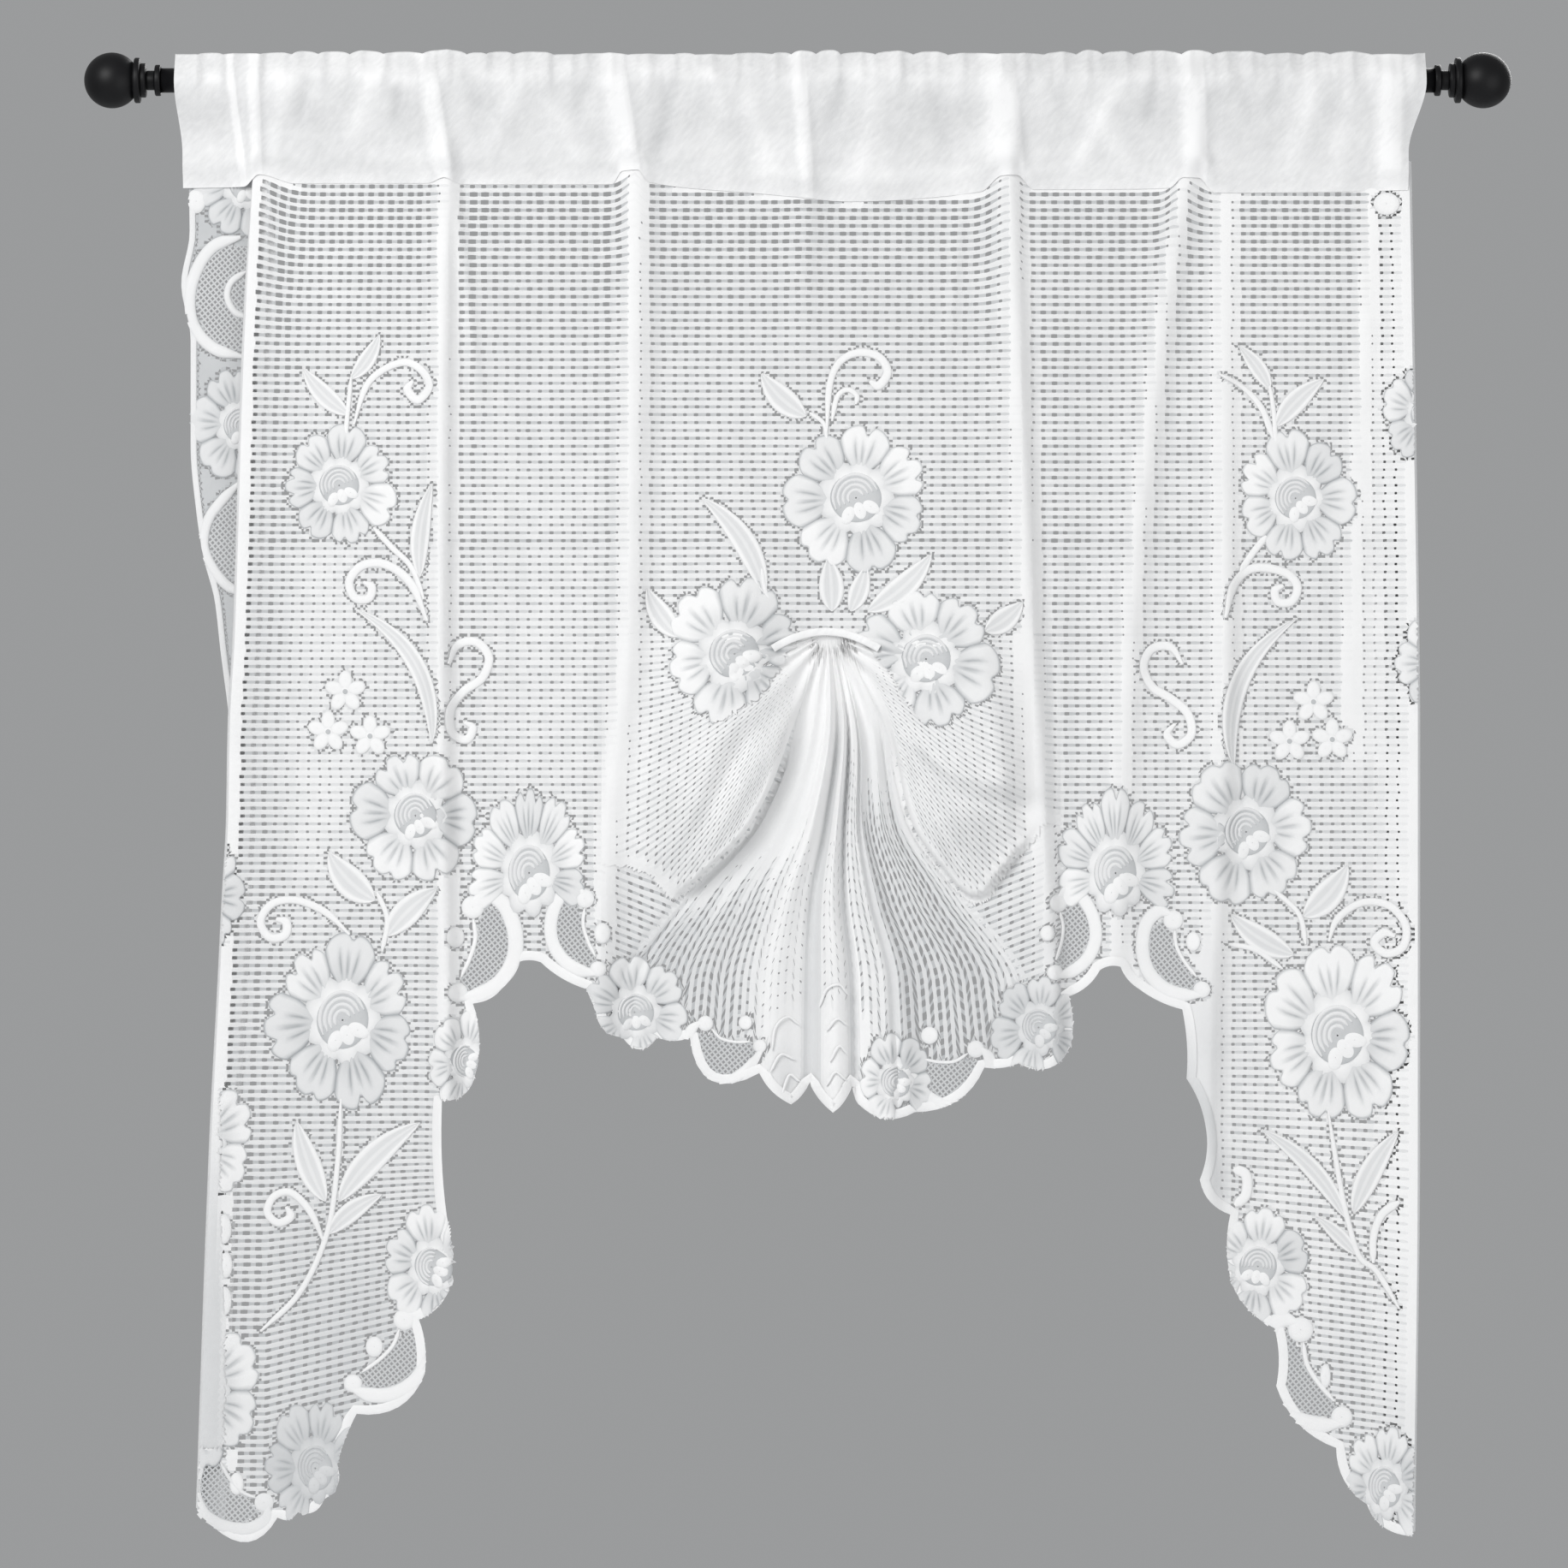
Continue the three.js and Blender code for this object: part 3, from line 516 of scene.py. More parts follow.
def grid_faces(rows, columns):
    i, j = np.meshgrid(np.arange(rows - 1), np.arange(columns - 1), indexing="ij")
    corner = (i * columns + j).ravel()
    return np.stack([corner, corner + columns, corner + columns + 1, corner + 1], axis=1)


def grid_patch(points, lift, tone, outline):
    """Patch of a grid of places, with a lift and a tone for each"""
    shape = points.shape[:2]
    lift = np.broadcast_to(lift, shape).ravel()
    tone = np.broadcast_to(tone, shape).ravel()
    return Patch(points.reshape(-1, 2), lift, tone, grid_faces(*shape), outline)


def sideways(path):
    """Unit vectors at right angles to a path"""
    along = np.gradient(path, axis=0)
    along /= np.maximum(np.linalg.norm(along, axis=1, keepdims=True), TINY)
    return np.stack([-along[:, 1], along[:, 0]], axis=1)


def strip_patch(path, half_widths, across, lift, tone):
    """Patch along a path: across holds places from -1 to 1 over its width, with the lift and tone of each"""
    wide = (half_widths[:, None] * np.asarray(across, float))[..., None]
    points = path[:, None, :] + sideways(path)[:, None, :] * wide
    return grid_patch(points, lift, tone, np.vstack([points[:, 0], points[::-1, -1]]))


CORD_ACROSS = np.array((-1, -0.8, -0.45, 0, 0.45, 0.8, 1))
CORD_RIM = 0.3
CORD_TIP = 0.35
CORD_WIDENS = 6


def cord_lift(height):
    return EDGE_LIFT + height * np.sqrt(1 - CORD_ACROSS**2)


def cord(points, start, end, height=0.6, tone=1.0, steps=8):
    """Low cord through a few places, from one half width to another, with pointed tips and a thin rim"""
    path = curve_through(points, steps)
    t = np.linspace(0, 1, len(path))
    half = lerp(start, end, t) * np.minimum(1, CORD_TIP + CORD_WIDENS * np.minimum(t, 1 - t))
    tones = tone * (1 - CORD_RIM * np.abs(CORD_ACROSS) ** 6)
    return strip_patch(path, half, CORD_ACROSS, cord_lift(height), tones)


LEAF_ACROSS = np.array((-1, -0.86, -0.7, -0.5, -0.22, -0.07, 0.07, 0.22, 0.5, 0.7, 0.86, 1))
LEAF_LIFT = np.array((0.45, 0.9, 0.85, 0.55, 0.5, 0.6, 0.6, 0.5, 0.55, 0.85, 0.9, 0.45))
LEAF_TONE = np.array((0.7, 1, 1, 0.7, 0.66, 0.82, 0.82, 0.66, 0.7, 1, 1, 0.7))
LEAF_STEPS = 18
LEAF_LEAST = 0.6
LEAF_FULLEST = 0.85
LEAF_ROUND = 0.8


def leaf(base, tip, half, bend):
    """Leaf with a corded edge and a thinner middle, bent sideways by a share of its length"""
    base = np.asarray(base, float)
    tip = np.asarray(tip, float)
    along = tip - base
    middle = (base + tip) / 2 + np.array([-along[1], along[0]]) * bend
    t = np.linspace(0, 1, LEAF_STEPS)
    path = np.outer((1 - t) ** 2, base) + np.outer(2 * t * (1 - t), middle) + np.outer(t**2, tip)
    widths = LEAF_LEAST + half * np.sin(np.pi * t**LEAF_FULLEST) ** LEAF_ROUND
    return strip_patch(path, widths, LEAF_ACROSS, LEAF_LIFT, LEAF_TONE)


DISC_RINGS = np.array((0.03, 0.35, 0.65, 0.88, 1.0))
DISC_SECTORS = 36


def disc(x, y, wide, high, turn=0, height=0.5, tone=1.0, edge_tone=0.75, base=EDGE_LIFT, lobes=(0, 0)):
    """Raised oval, its edge plain or with so many lobes of a depth"""
    angle = np.linspace(0, 2 * np.pi, DISC_SECTORS + 1)
    count, depth = lobes
    reach = 1 - depth + 2 * depth * np.abs(np.cos(count * angle / 2)) if count else 1
    local_x = wide * np.outer(DISC_RINGS, reach * np.cos(angle))
    local_y = high * np.outer(DISC_RINGS, reach * np.sin(angle))
    c, s = math.cos(math.radians(turn)), math.sin(math.radians(turn))
    points = np.stack([x + local_x * c - local_y * s, y + local_x * s + local_y * c], axis=-1)
    lift = base + height * np.sqrt(1 - DISC_RINGS**2)[:, None]
    tones = lerp(tone, edge_tone, DISC_RINGS**6)[:, None]
    return grid_patch(points, lift, tones, points[-1, :-1])


# Petals, in shares of their length, of half their width, or of the flower's radius
PETAL_SEED = 11
PETAL_ACROSS = np.linspace(-1, 1, 25)
PETAL_ALONG = np.append(np.linspace(0, 0.9, 10), (0.95, 1))
PETAL_UNEVEN = (-0.07, 0.07)
PETAL_ROOT = 0.3
PETAL_TIP = 1.04
PETAL_ROUND = 0.2
PETAL_NOTCH = 0.15
PETAL_NOTCH_HALF = 0.13
PETAL_NOTCH_UNEVEN = (0.5, 1.1)
PETAL_CUTS = ((-0.36, 0.36), (-0.28, 0.44), (0.05,))
PETAL_WAIST = 0.62
PETAL_WIDENS = (0, 0.6)
PETAL_BASE = 0.3
PETAL_DOME = 0.55
PETAL_DOME_RUN = (0.1, 0.85)
STREAKS = (-0.42, -0.05, 0.34)
STREAK_HALF = 0.075
STREAK_STARTS = (0.2, 0.4)
STREAK_ENDS = (0.85, 0.55)
STREAK_DEPTH = 0.3
STREAK_TONE = 0.62
RIM_TONE = 0.75
RIM_SIDES = (0.86, 1)
RIM_TIP = (0.94, 1)
PETAL_TONE = (0.7, 1.06)
PETAL_INNER = 0.66
PETAL_WHITENS = (0.15, 0.75)
petal_rng = np.random.default_rng(PETAL_SEED)


def petal(f, angle, half_angle):
    """Notched petal, slightly domed, with thin streaks in its middle and a thin rim"""
    phi, rho = np.meshgrid(PETAL_ACROSS, PETAL_ALONG)
    radius = f.radius * (1 + petal_rng.uniform(*PETAL_UNEVEN))
    cuts = PETAL_CUTS[petal_rng.integers(len(PETAL_CUTS))]
    notch = sum(bump((phi - at) / PETAL_NOTCH_HALF) for at in cuts)
    deep = PETAL_NOTCH * petal_rng.uniform(*PETAL_NOTCH_UNEVEN)
    tip = radius * (PETAL_TIP - PETAL_ROUND * np.abs(phi) ** 3 - deep * notch)
    far = lerp(PETAL_ROOT * f.radius, tip, rho)
    spread = half_angle * lerp(PETAL_WAIST, 1.0, smooth(*PETAL_WIDENS, rho))
    direction = angle + phi * spread
    points = np.stack([f.x + f.wide * far * np.cos(direction), f.y + far * np.sin(direction)], axis=-1)
    streak = sum(bump((phi - at) / STREAK_HALF) for at in STREAKS)
    streak = streak * smooth(*STREAK_STARTS, rho) * smooth(*STREAK_ENDS, rho)
    rim = np.sqrt(np.clip((1 - phi**6) * (1 - rho**8), 0, 1))
    dome = PETAL_BASE + PETAL_DOME * np.sin(np.pi * lerp(*PETAL_DOME_RUN, rho))
    edge = np.maximum(smooth(*RIM_SIDES, np.abs(phi)), smooth(*RIM_TIP, rho))
    white = petal_rng.uniform(*PETAL_TONE) * lerp(PETAL_INNER, 1, smooth(*PETAL_WHITENS, rho))
    tone = (white - STREAK_TONE * streak - RIM_TONE * edge) * (1 - f.shade)
    outline = np.vstack([points[-1], points[::-1, -1], points[0, ::-1], points[:, 0]])
    return grid_patch(points, EDGE_LIFT + rim * (dome - STREAK_DEPTH * streak), tone, outline)


# Blooms, with the collar, gap, arcs and stamens of the cup in shares of the radius
# A flower's shade is painted shade, or painted light where it is negative
Flower = namedtuple("Flower", "x y radius petals turn wide spread shade", defaults=(360, 0))
CUP_COLLAR = 0.5
CUP_LOBES = (9, 0.1)
CUP_GAP = (0.36, 0.33)
CUP_ARCS = (0.32, 0.25, 0.18, 0.11)
CUP_ARC_HALF = 0.03
CUP_ARC_SWEEP = np.linspace(140, 330, 7)
CUP_OVALS = ((20, 0.24), (62, 0.18), (105, 0.25))
CUP_OVAL = (0.16, 0.11)
CUP_HEIGHT = 1.7


def flower(f):
    """Bloom: petals spread over an angle round a lobed collar, with thin arcs and stamens in the cup"""
    spread = math.radians(f.spread)
    first = -math.pi / 2 + math.radians(f.turn) - spread / 2
    step = spread / f.petals
    patches = [petal(f, first + (k + 0.5) * step, step / 2) for k in range(f.petals)]
    bright = 1 - f.shade
    size = f.radius
    wide = size * f.wide
    collar = (wide * CUP_COLLAR, size * CUP_COLLAR)
    patches.append(disc(f.x, f.y, *collar, tone=bright, edge_tone=0.55 * bright, base=0.9, lobes=CUP_LOBES))
    gap = (wide * CUP_GAP[0], size * CUP_GAP[1])
    patches.append(disc(f.x, f.y, *gap, f.turn, height=0.1, tone=0.4, edge_tone=0.2, base=1.5))
    sweep = np.radians(CUP_ARC_SWEEP + f.turn)
    half = size * CUP_ARC_HALF
    for share in CUP_ARCS:
        arc = np.stack([f.x + wide * share * np.cos(sweep), f.y + size * share * np.sin(sweep)], axis=1)
        patches.append(cord(arc, half, half, CUP_HEIGHT, tone=0.75 * bright, steps=3))
    oval = (size * CUP_OVAL[0], size * CUP_OVAL[1])
    for away, share in CUP_OVALS:
        at = math.radians(away + f.turn)
        x = f.x + wide * share * math.cos(at)
        y = f.y + size * share * math.sin(at)
        patches.append(disc(x, y, *oval, away + f.turn, CUP_HEIGHT, bright, edge_tone=0.7 * bright))
    return patches


SMALL_FLOWER_RADIUS = 23
SMALL_PETALS = 5
SMALL_PETAL_AT = 0.58
SMALL_PETAL = (0.48, 0.34)
SMALL_MIDDLE = 0.26
SMALL_EYE = 0.13


def small_flower(x, y):
    radius = SMALL_FLOWER_RADIUS
    patches = []
    for k in range(SMALL_PETALS):
        turn = 360 / SMALL_PETALS * k - 90
        px = x + radius * SMALL_PETAL_AT * math.cos(math.radians(turn))
        py = y + radius * SMALL_PETAL_AT * math.sin(math.radians(turn))
        patches.append(disc(px, py, radius * SMALL_PETAL[0], radius * SMALL_PETAL[1], turn))
    middle = radius * SMALL_MIDDLE
    eye = radius * SMALL_EYE
    patches.append(disc(x, y, middle, middle))
    patches.append(disc(x, y, eye, eye, height=0.1, tone=0.25, edge_tone=0.3, base=1.0))
    return patches


# Border medallion: across and along places on the line from its ball to its lobe, which bulges to one side
MEDALLION_BAND = (
    (0, -0.08), (0.14, -0.18), (0.34, -0.1), (0.49, 0.11), (0.56, 0.33), (0.56, 0.55), (0.46, 0.79),
    (0.26, 0.97), (0.02, 1.06),
)
MEDALLION_ARC = ((0.03, 0.13), (0.09, 0.34), (0.07, 0.57), (0, 0.82))
MEDALLION_MESH = (
    (0.13, -0.05), (0.32, 0), (0.45, 0.17), (0.52, 0.34), (0.52, 0.5), (0.43, 0.7), (0.23, 0.89), (0, 0.96),
    (0.04, 0.73), (0.11, 0.46), (0.1, 0.24),
)
MEDALLION_BAND_HALF = 0.09
MEDALLION_ARC_HALF = 0.024
MEDALLION_BALL = 0.13
MEDALLION_LOBE = 0.11
MESH_SPACING = 5.0
MESH_HALF = 1.0
MESH_STEP = 3.0
MESH_TONE = 0.4
MESH_REACH = 1.5
MESH_ANGLES = (52, -40)
MESH_CROWNS = (0.3, 0.45)
MESH_FOOT = 0.1
# A medallion's shade is painted shade
Medallion = namedtuple("Medallion", "ball lobe flip bulge shade")


def medallion_places(m, places):
    ball = np.asarray(m.ball, float)
    along = np.asarray(m.lobe, float) - ball
    side = np.array([along[1], -along[0]]) * m.flip
    places = np.asarray(places, float)
    return ball + places[:, :1] * side * m.bulge + places[:, 1:] * along


def medallion(m):
    size = math.dist(m.ball, m.lobe)
    half = MEDALLION_BAND_HALF * size
    thin = MEDALLION_ARC_HALF * size
    ball = MEDALLION_BALL * size
    lobe = MEDALLION_LOBE * size
    bright = 1 - m.shade
    return [
        cord(medallion_places(m, MEDALLION_BAND), half, half, height=0.5, tone=bright, steps=6),
        cord(medallion_places(m, MEDALLION_ARC), thin, thin, height=0.5, tone=bright),
        disc(*m.ball, ball, ball, height=0.6, tone=bright),
        disc(*m.lobe, lobe, lobe, height=0.6, tone=bright),
    ]


def runs_within(outline, path):
    """Runs of a path inside an outline, each with one place beyond its ends"""
    within = inside_area(outline, path[:, 0], path[:, 1])
    ends = np.flatnonzero(np.diff(np.concatenate([[0], within.astype(int), [0]])))
    runs = [path[max(start - 1, 0) : end + 1] for start, end in ends.reshape(-1, 2)]
    return [run for run in runs if len(run) > 2]


def mesh_strands(outline):
    """Two crossing sets of fine strands that fill an outline"""
    middle = outline.mean(axis=0)
    reach = np.abs(outline - middle).max() * MESH_REACH
    t = np.arange(-reach, reach, MESH_STEP)
    patches = []
    for degrees, crown in zip(MESH_ANGLES, MESH_CROWNS):
        angle = math.radians(degrees)
        along = np.array([math.cos(angle), math.sin(angle)])
        side = np.array([-along[1], along[0]])
        lift = (MESH_FOOT, crown, MESH_FOOT)
        for offset in np.arange(-reach, reach, MESH_SPACING):
            for run in runs_within(outline, middle + side * offset + along * t[:, None]):
                patches.append(strip_patch(run, np.full(len(run), MESH_HALF), (-1, 0, 1), lift, MESH_TONE))
    return patches


# Motifs of the left tail, the centre and the right tail
FLOWERS = table(
    Flower,
    (396, 567, 70, 7, 10, 0.92), (486, 953, 78, 6, 5, 0.92), (400, 1192, 102, 7, 8, 0.82),
    (234, 1048, 66, 6, 0, 0.78), (230, 1336, 80, 6, 30, 0.8), (228, 1625, 88, 6, 30, 0.85),
    (543, 1240, 58, 5, -40, 0.75, 300), (506, 1480, 68, 6, -40, 0.85),
    (368, 1716, 78, 6, -10, 0.72, 320, 0.42),
    (618, 1020, 96, 7, 0, 0.7, 240), (1000, 582, 86, 7, 10, 0.97), (858, 765, 84, 6, -15, 0.95),
    (1082, 770, 82, 6, 15, 0.95), (1514, 582, 74, 7, -10, 0.9), (1456, 972, 84, 6, -5, 0.9, 360, 0.05),
    (1563, 1210, 104, 7, -8, 0.82, 360, -0.08), (1470, 1480, 68, 6, 40, 0.88),
    (1618, 1738, 72, 6, -15, 0.7, 330, 0.1), (1303, 1020, 94, 7, 0, 0.7, 240),
    (742, 1183, 64, 6, 20, 0.95, 340, 0.1), (1046, 1264, 56, 5, -20, 0.75, 320),
    (1214, 1200, 62, 6, -20, 0.85, 340, 0.22), (1666, 484, 62, 6, 20, 0.8, 360, 0.1),
    (1682, 775, 56, 6, 0, 0.85, 360, 0.1),
)
SMALL_FLOWERS = ((403, 808), (383, 855), (432, 860), (1535, 820), (1507, 866), (1557, 864))
Leaf = namedtuple("Leaf", "base tip half bend")
LEAVES = table(
    Leaf,
    ((410, 442), (443, 391), 9, 0.12), ((407, 484), (354, 430), 11, -0.12),
    ((491, 674), (506, 566), 11, -0.12), ((506, 868), (414, 711), 10, 0.32),
    ((438, 1052), (384, 996), 17, -0.16), ((452, 1094), (512, 1038), 15, -0.12),
    ((380, 1404), (346, 1310), 14, -0.08), ((396, 1404), (491, 1312), 15, -0.14),
    ((384, 1442), (446, 1396), 11, -0.14), ((942, 486), (890, 436), 14, -0.14),
    ((893, 694), (820, 582), 13, 0.2), ((1014, 714), (1088, 648), 14, 0.14),
    ((972, 714), (968, 652), 14, 0.04), ((994, 714), (1012, 662), 11, 0.06),
    ((794, 744), (756, 688), 13, -0.12), ((1150, 738), (1194, 704), 13, 0.12),
    ((1484, 454), (1448, 404), 9, 0.1), ((1492, 498), (1547, 443), 12, -0.12),
    ((1441, 896), (1515, 723), 11, -0.34), ((1523, 1071), (1575, 1011), 16, 0.14),
    ((1512, 1116), (1438, 1068), 14, -0.12), ((1572, 1423), (1474, 1320), 10, 0.16),
    ((1582, 1418), (1634, 1322), 13, -0.1), ((1584, 1466), (1538, 1422), 8, 0.08),
)
Cord = namedtuple("Cord", "points start end", defaults=(1.6, 1.6))
SCROLLS = table(
    Cord,
    (((413, 496), (427, 452), (447, 432), (473, 423), (493, 433), (502, 452), (488, 467), (476, 455),
      (482, 445)), 3.5, 5.5),
    (((500, 726), (480, 682), (452, 660), (424, 660), (408, 678), (414, 698), (430, 699), (434, 686),
      (424, 680)), 5, 5),
    (((524, 776), (534, 754), (556, 750), (571, 768), (563, 792), (541, 808), (526, 830), (528, 856),
      (545, 864), (552, 850), (542, 844)), 5, 5),
    (((408, 1092), (380, 1066), (346, 1052), (318, 1056), (304, 1076), (314, 1095), (332, 1093), (334, 1078),
      (322, 1074)), 4, 5.5),
    (((378, 1452), (362, 1416), (340, 1394), (320, 1398), (312, 1416), (324, 1429), (339, 1422),
      (334, 1410)), 4, 5),
    (((966, 505), (969, 452), (980, 424), (1001, 412), (1026, 416), (1037, 434), (1027, 450),
      (1016, 445)), 3.5, 5.5),
    (((972, 492), (978, 464), (990, 455), (1001, 462), (1000, 472)), 3, 3),
    (((1488, 512), (1474, 476), (1452, 452), (1424, 437)), 4, 2.5),
    (((1431, 722), (1441, 684), (1464, 664), (1500, 668), (1516, 684), (1510, 702), (1494, 703), (1490, 690),
      (1500, 684)), 5, 5),
    (((1382, 776), (1368, 756), (1346, 758), (1336, 778), (1346, 802), (1368, 816), (1388, 834), (1392, 858),
      (1376, 870), (1364, 858), (1373, 846)), 5, 5),
    (((1553, 1100), (1563, 1074), (1591, 1055), (1623, 1058), (1642, 1081), (1639, 1106), (1620, 1114),
      (1606, 1102), (1617, 1090), (1630, 1094)), 4, 5.5),
    (((1605, 1476), (1605, 1446), (1615, 1419), (1635, 1404)), 4, 5),
    (((1441, 1366), (1456, 1373), (1456, 1396), (1443, 1409)), 6, 6),
)
FOLDED_PETALS = (
    Cord(((902, 1226), (906, 1200), (920, 1188), (934, 1198))),
    Cord(((900, 1252), (912, 1232), (928, 1238))),
    Cord(((914, 1276), (922, 1256), (934, 1264))),
    Cord(((958, 1176), (966, 1156), (980, 1150), (990, 1162))),
    Cord(((966, 1204), (978, 1190), (990, 1198))),
    Cord(((970, 1240), (980, 1222), (990, 1232))),
    Cord(((966, 1268), (976, 1252), (988, 1262))),
)
STEMS = table(
    Cord,
    (((402, 522), (406, 480), (410, 440)), 3, 2.5),
    (((436, 616), (458, 640), (480, 662), (496, 700)), 3.5, 3),
    (((440, 1042), (452, 1074), (446, 1112)), 3, 3),
    (((398, 1284), (394, 1360), (382, 1440), (350, 1510), (304, 1556)), 3, 3.5),
    (((966, 512), (962, 494), (946, 482)), 2.5, 2.5),
    (((900, 704), (894, 690), (890, 664)), 2.5, 2.5),
    (((1480, 626), (1464, 646), (1449, 668)), 4, 4),
    (((1491, 524), (1489, 484), (1484, 450)), 3, 2.5),
    (((1489, 1040), (1518, 1068), (1526, 1103)), 3, 3),
    (((1435, 1103), (1467, 1110), (1499, 1132)), 3, 3),
    (((1552, 1297), (1566, 1383), (1576, 1429), (1589, 1469), (1609, 1486), (1635, 1529)), 3, 3.5),
)
MEDALLIONS = table(
    Medallion,
    ((552, 1060), (535, 1160), 1, 1.0, 0.0), ((684, 1050), (699, 1132), -1, 1.0, 0.0),
    ((308, 1756), (246, 1698), 1, 1.18, 0.15), ((472, 1542), (412, 1617), 1, 1.0, 0.0),
    ((1236, 1055), (1232, 1136), 1, 1.0, 0.05), ((1371, 1075), (1404, 1156), -1, 1.0, 0.05),
    ((1520, 1554), (1568, 1656), -1, 1.0, 0.0), ((824, 1196), (888, 1222), -1, 1.5, 0.0),
    ((1140, 1226), (1064, 1240), 1, 1.35, 0.05),
)
Dot = namedtuple("Dot", "x y wide high")
DOTS = table(
    Dot,
    (276, 1734, 8, 13), (437, 1574, 10, 12), (532, 1095, 10, 12), (704, 1090, 9, 12), (871, 1195, 8, 8),
    (1086, 1210, 10, 10), (1223, 1090, 8, 9), (1394, 1100, 8, 11), (1549, 1608, 6, 14), (622, 1050, 15, 12),
    (1316, 1047, 15, 13), (262, 1436, 8, 17), (264, 1478, 7, 15), (262, 1520, 8, 17), (1620, 238, 15, 13),
)

# Motifs of the strip beside the left edge
STRIP_FLOWERS = table(Flower, (288, 214, 62, 7, 10, 0.95, 360, 0.15), (280, 496, 62, 6, 8, 0.9, 360, 0.15))
STRIP_CORDS = table(
    Cord,
    (((280, 276), (250, 285), (231, 308), (220, 342), (224, 378), (247, 405), (282, 416)), 7, 7),
    (((286, 316), (269, 328), (264, 345), (272, 362), (286, 370)), 4, 4),
    (((280, 562), (256, 586), (241, 608), (236, 636), (246, 662), (262, 682), (280, 694)), 6, 6),
)
STRIP_MESHES = (
    ((224, 330), (240, 300), (262, 286), (290, 288), (290, 408), (262, 406), (236, 388)),
    ((242, 630), (252, 600), (270, 582), (290, 574), (290, 672), (264, 674), (248, 654)),
)
STRIP_LOBE = Dot(228, 234, 11, 14)


def front_patches():
    patches = []
    for row in FLOWERS:
        patches += flower(row)
    for x, y in SMALL_FLOWERS:
        patches += small_flower(x, y)
    patches += [leaf(*row) for row in LEAVES]
    patches += [cord(*row) for row in (*SCROLLS, *STEMS)]
    for row in MEDALLIONS:
        patches += medallion(row)
    patches += [disc(*row) for row in DOTS]
    return patches


# Meshes
def new_piece(name, points, faces, tone, tone_domain, material):
    """Piece with a tone for each of its points or faces, without the points that no face uses"""
    used, numbers = np.unique(faces, return_inverse=True)
    faces = numbers.reshape(faces.shape)
    if tone_domain == "POINT":
        tone = tone[used]
    mesh = bpy.data.meshes.new(name)
    mesh.vertices.add(len(used))
    mesh.vertices.foreach_set("co", np.ascontiguousarray(points[used], np.float32).ravel())
    mesh.loops.add(faces.size)
    mesh.loops.foreach_set("vertex_index", np.ascontiguousarray(faces, np.int32).ravel())
    mesh.polygons.add(len(faces))
    mesh.polygons.foreach_set("loop_start", np.arange(0, faces.size, faces.shape[1], dtype=np.int32))
    mesh.polygons.foreach_set("use_smooth", np.ones(len(faces), bool))
    mesh.update(calc_edges=True)
    attribute = mesh.attributes.new("tone", "FLOAT", tone_domain)
    attribute.data.foreach_set("value", np.ascontiguousarray(tone, np.float32))
    mesh.materials.append(material)
    piece = bpy.data.objects.new(name, mesh)
    bpy.context.scene.collection.objects.link(piece)
    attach(piece, "root")
    return piece


def grid_piece(name, points, tone, material):
    """Piece of a grid of points in millimetres"""
    faces = grid_faces(*points.shape[:2])
    tones = np.broadcast_to(tone, points.shape[:2]).ravel()
    return new_piece(name, metres(points.reshape(-1, 3)), faces, tones, "POINT", material)


def patch_piece(name, patches, surface, keep):
    """Lace of many patches, on a surface, with the faces that keep allows at their middles"""
    counts = np.cumsum([0] + [len(p.points) for p in patches])
    places = np.vstack([p.points for p in patches])
    lift = np.concatenate([p.lift for p in patches])
    tone = np.concatenate([p.tone for p in patches])
    faces = np.vstack([p.faces + start for p, start in zip(patches, counts)])
    middle = places[faces].mean(axis=1)
    faces = faces[keep(middle[:, 0], middle[:, 1])]
    return new_piece(name, surface(places[:, 0], places[:, 1], lift), faces, tone, "POINT", LACE)


def lattice(along_cells, across_cells, place, openness):
    """Bands with a row of gaps between each two: places, their lift, and the size of each gap"""
    along = np.append(np.add.outer(np.arange(along_cells), GAP_LINES).ravel(), along_cells)
    across = np.append(np.add.outer(np.arange(across_cells), BAND_LINES).ravel(), across_cells)
    i, j = np.meshgrid(np.arange(len(along)), np.arange(len(across)), indexing="ij")
    cell, gap_line = i // len(GAP_LINES), i % len(GAP_LINES)
    row, band_line = j // len(BAND_LINES), j % len(BAND_LINES)
    gap_middle = GAP_LINES[1]
    band_middle = BAND_LINES[1] / 2
    cells = np.add.outer(np.arange(along_cells + 1) + gap_middle, np.zeros(across_cells + 1))
    rows = np.add.outer(np.zeros(along_cells + 1), np.arange(across_cells + 1) + band_middle)
    uneven = np.random.default_rng(NET_SEED)
    shift = uneven.uniform(-GAP_SHIFT, GAP_SHIFT, cells.shape)
    size = openness(*place(cells, rows)) * (1 + uneven.uniform(-GAP_UNEVEN, GAP_UNEVEN, cells.shape))
    at_gap = (gap_line < 3) & (band_line < 2) & (i > 0) & (i < len(along) - 1)
    grows = np.clip(size, GAP_LEAST, GAP_MOST)[cell, row] - 1
    bulge = np.where(gap_line == 1, GAP_BULGE * np.where(band_line == 0, -1, 1), 0)
    a = along[i] + at_gap * ((along[i] - cell - gap_middle) * grows + shift[cell, row])
    b = across[j] + at_gap * ((across[j] - row - band_middle) * grows * GAP_TALL + bulge)
    lift = np.where(band_line == 2, BAND_LIFT * np.clip(size, BAND_LIFT_LEAST, 1)[cell, row], 0)
    return a, b, lift, size


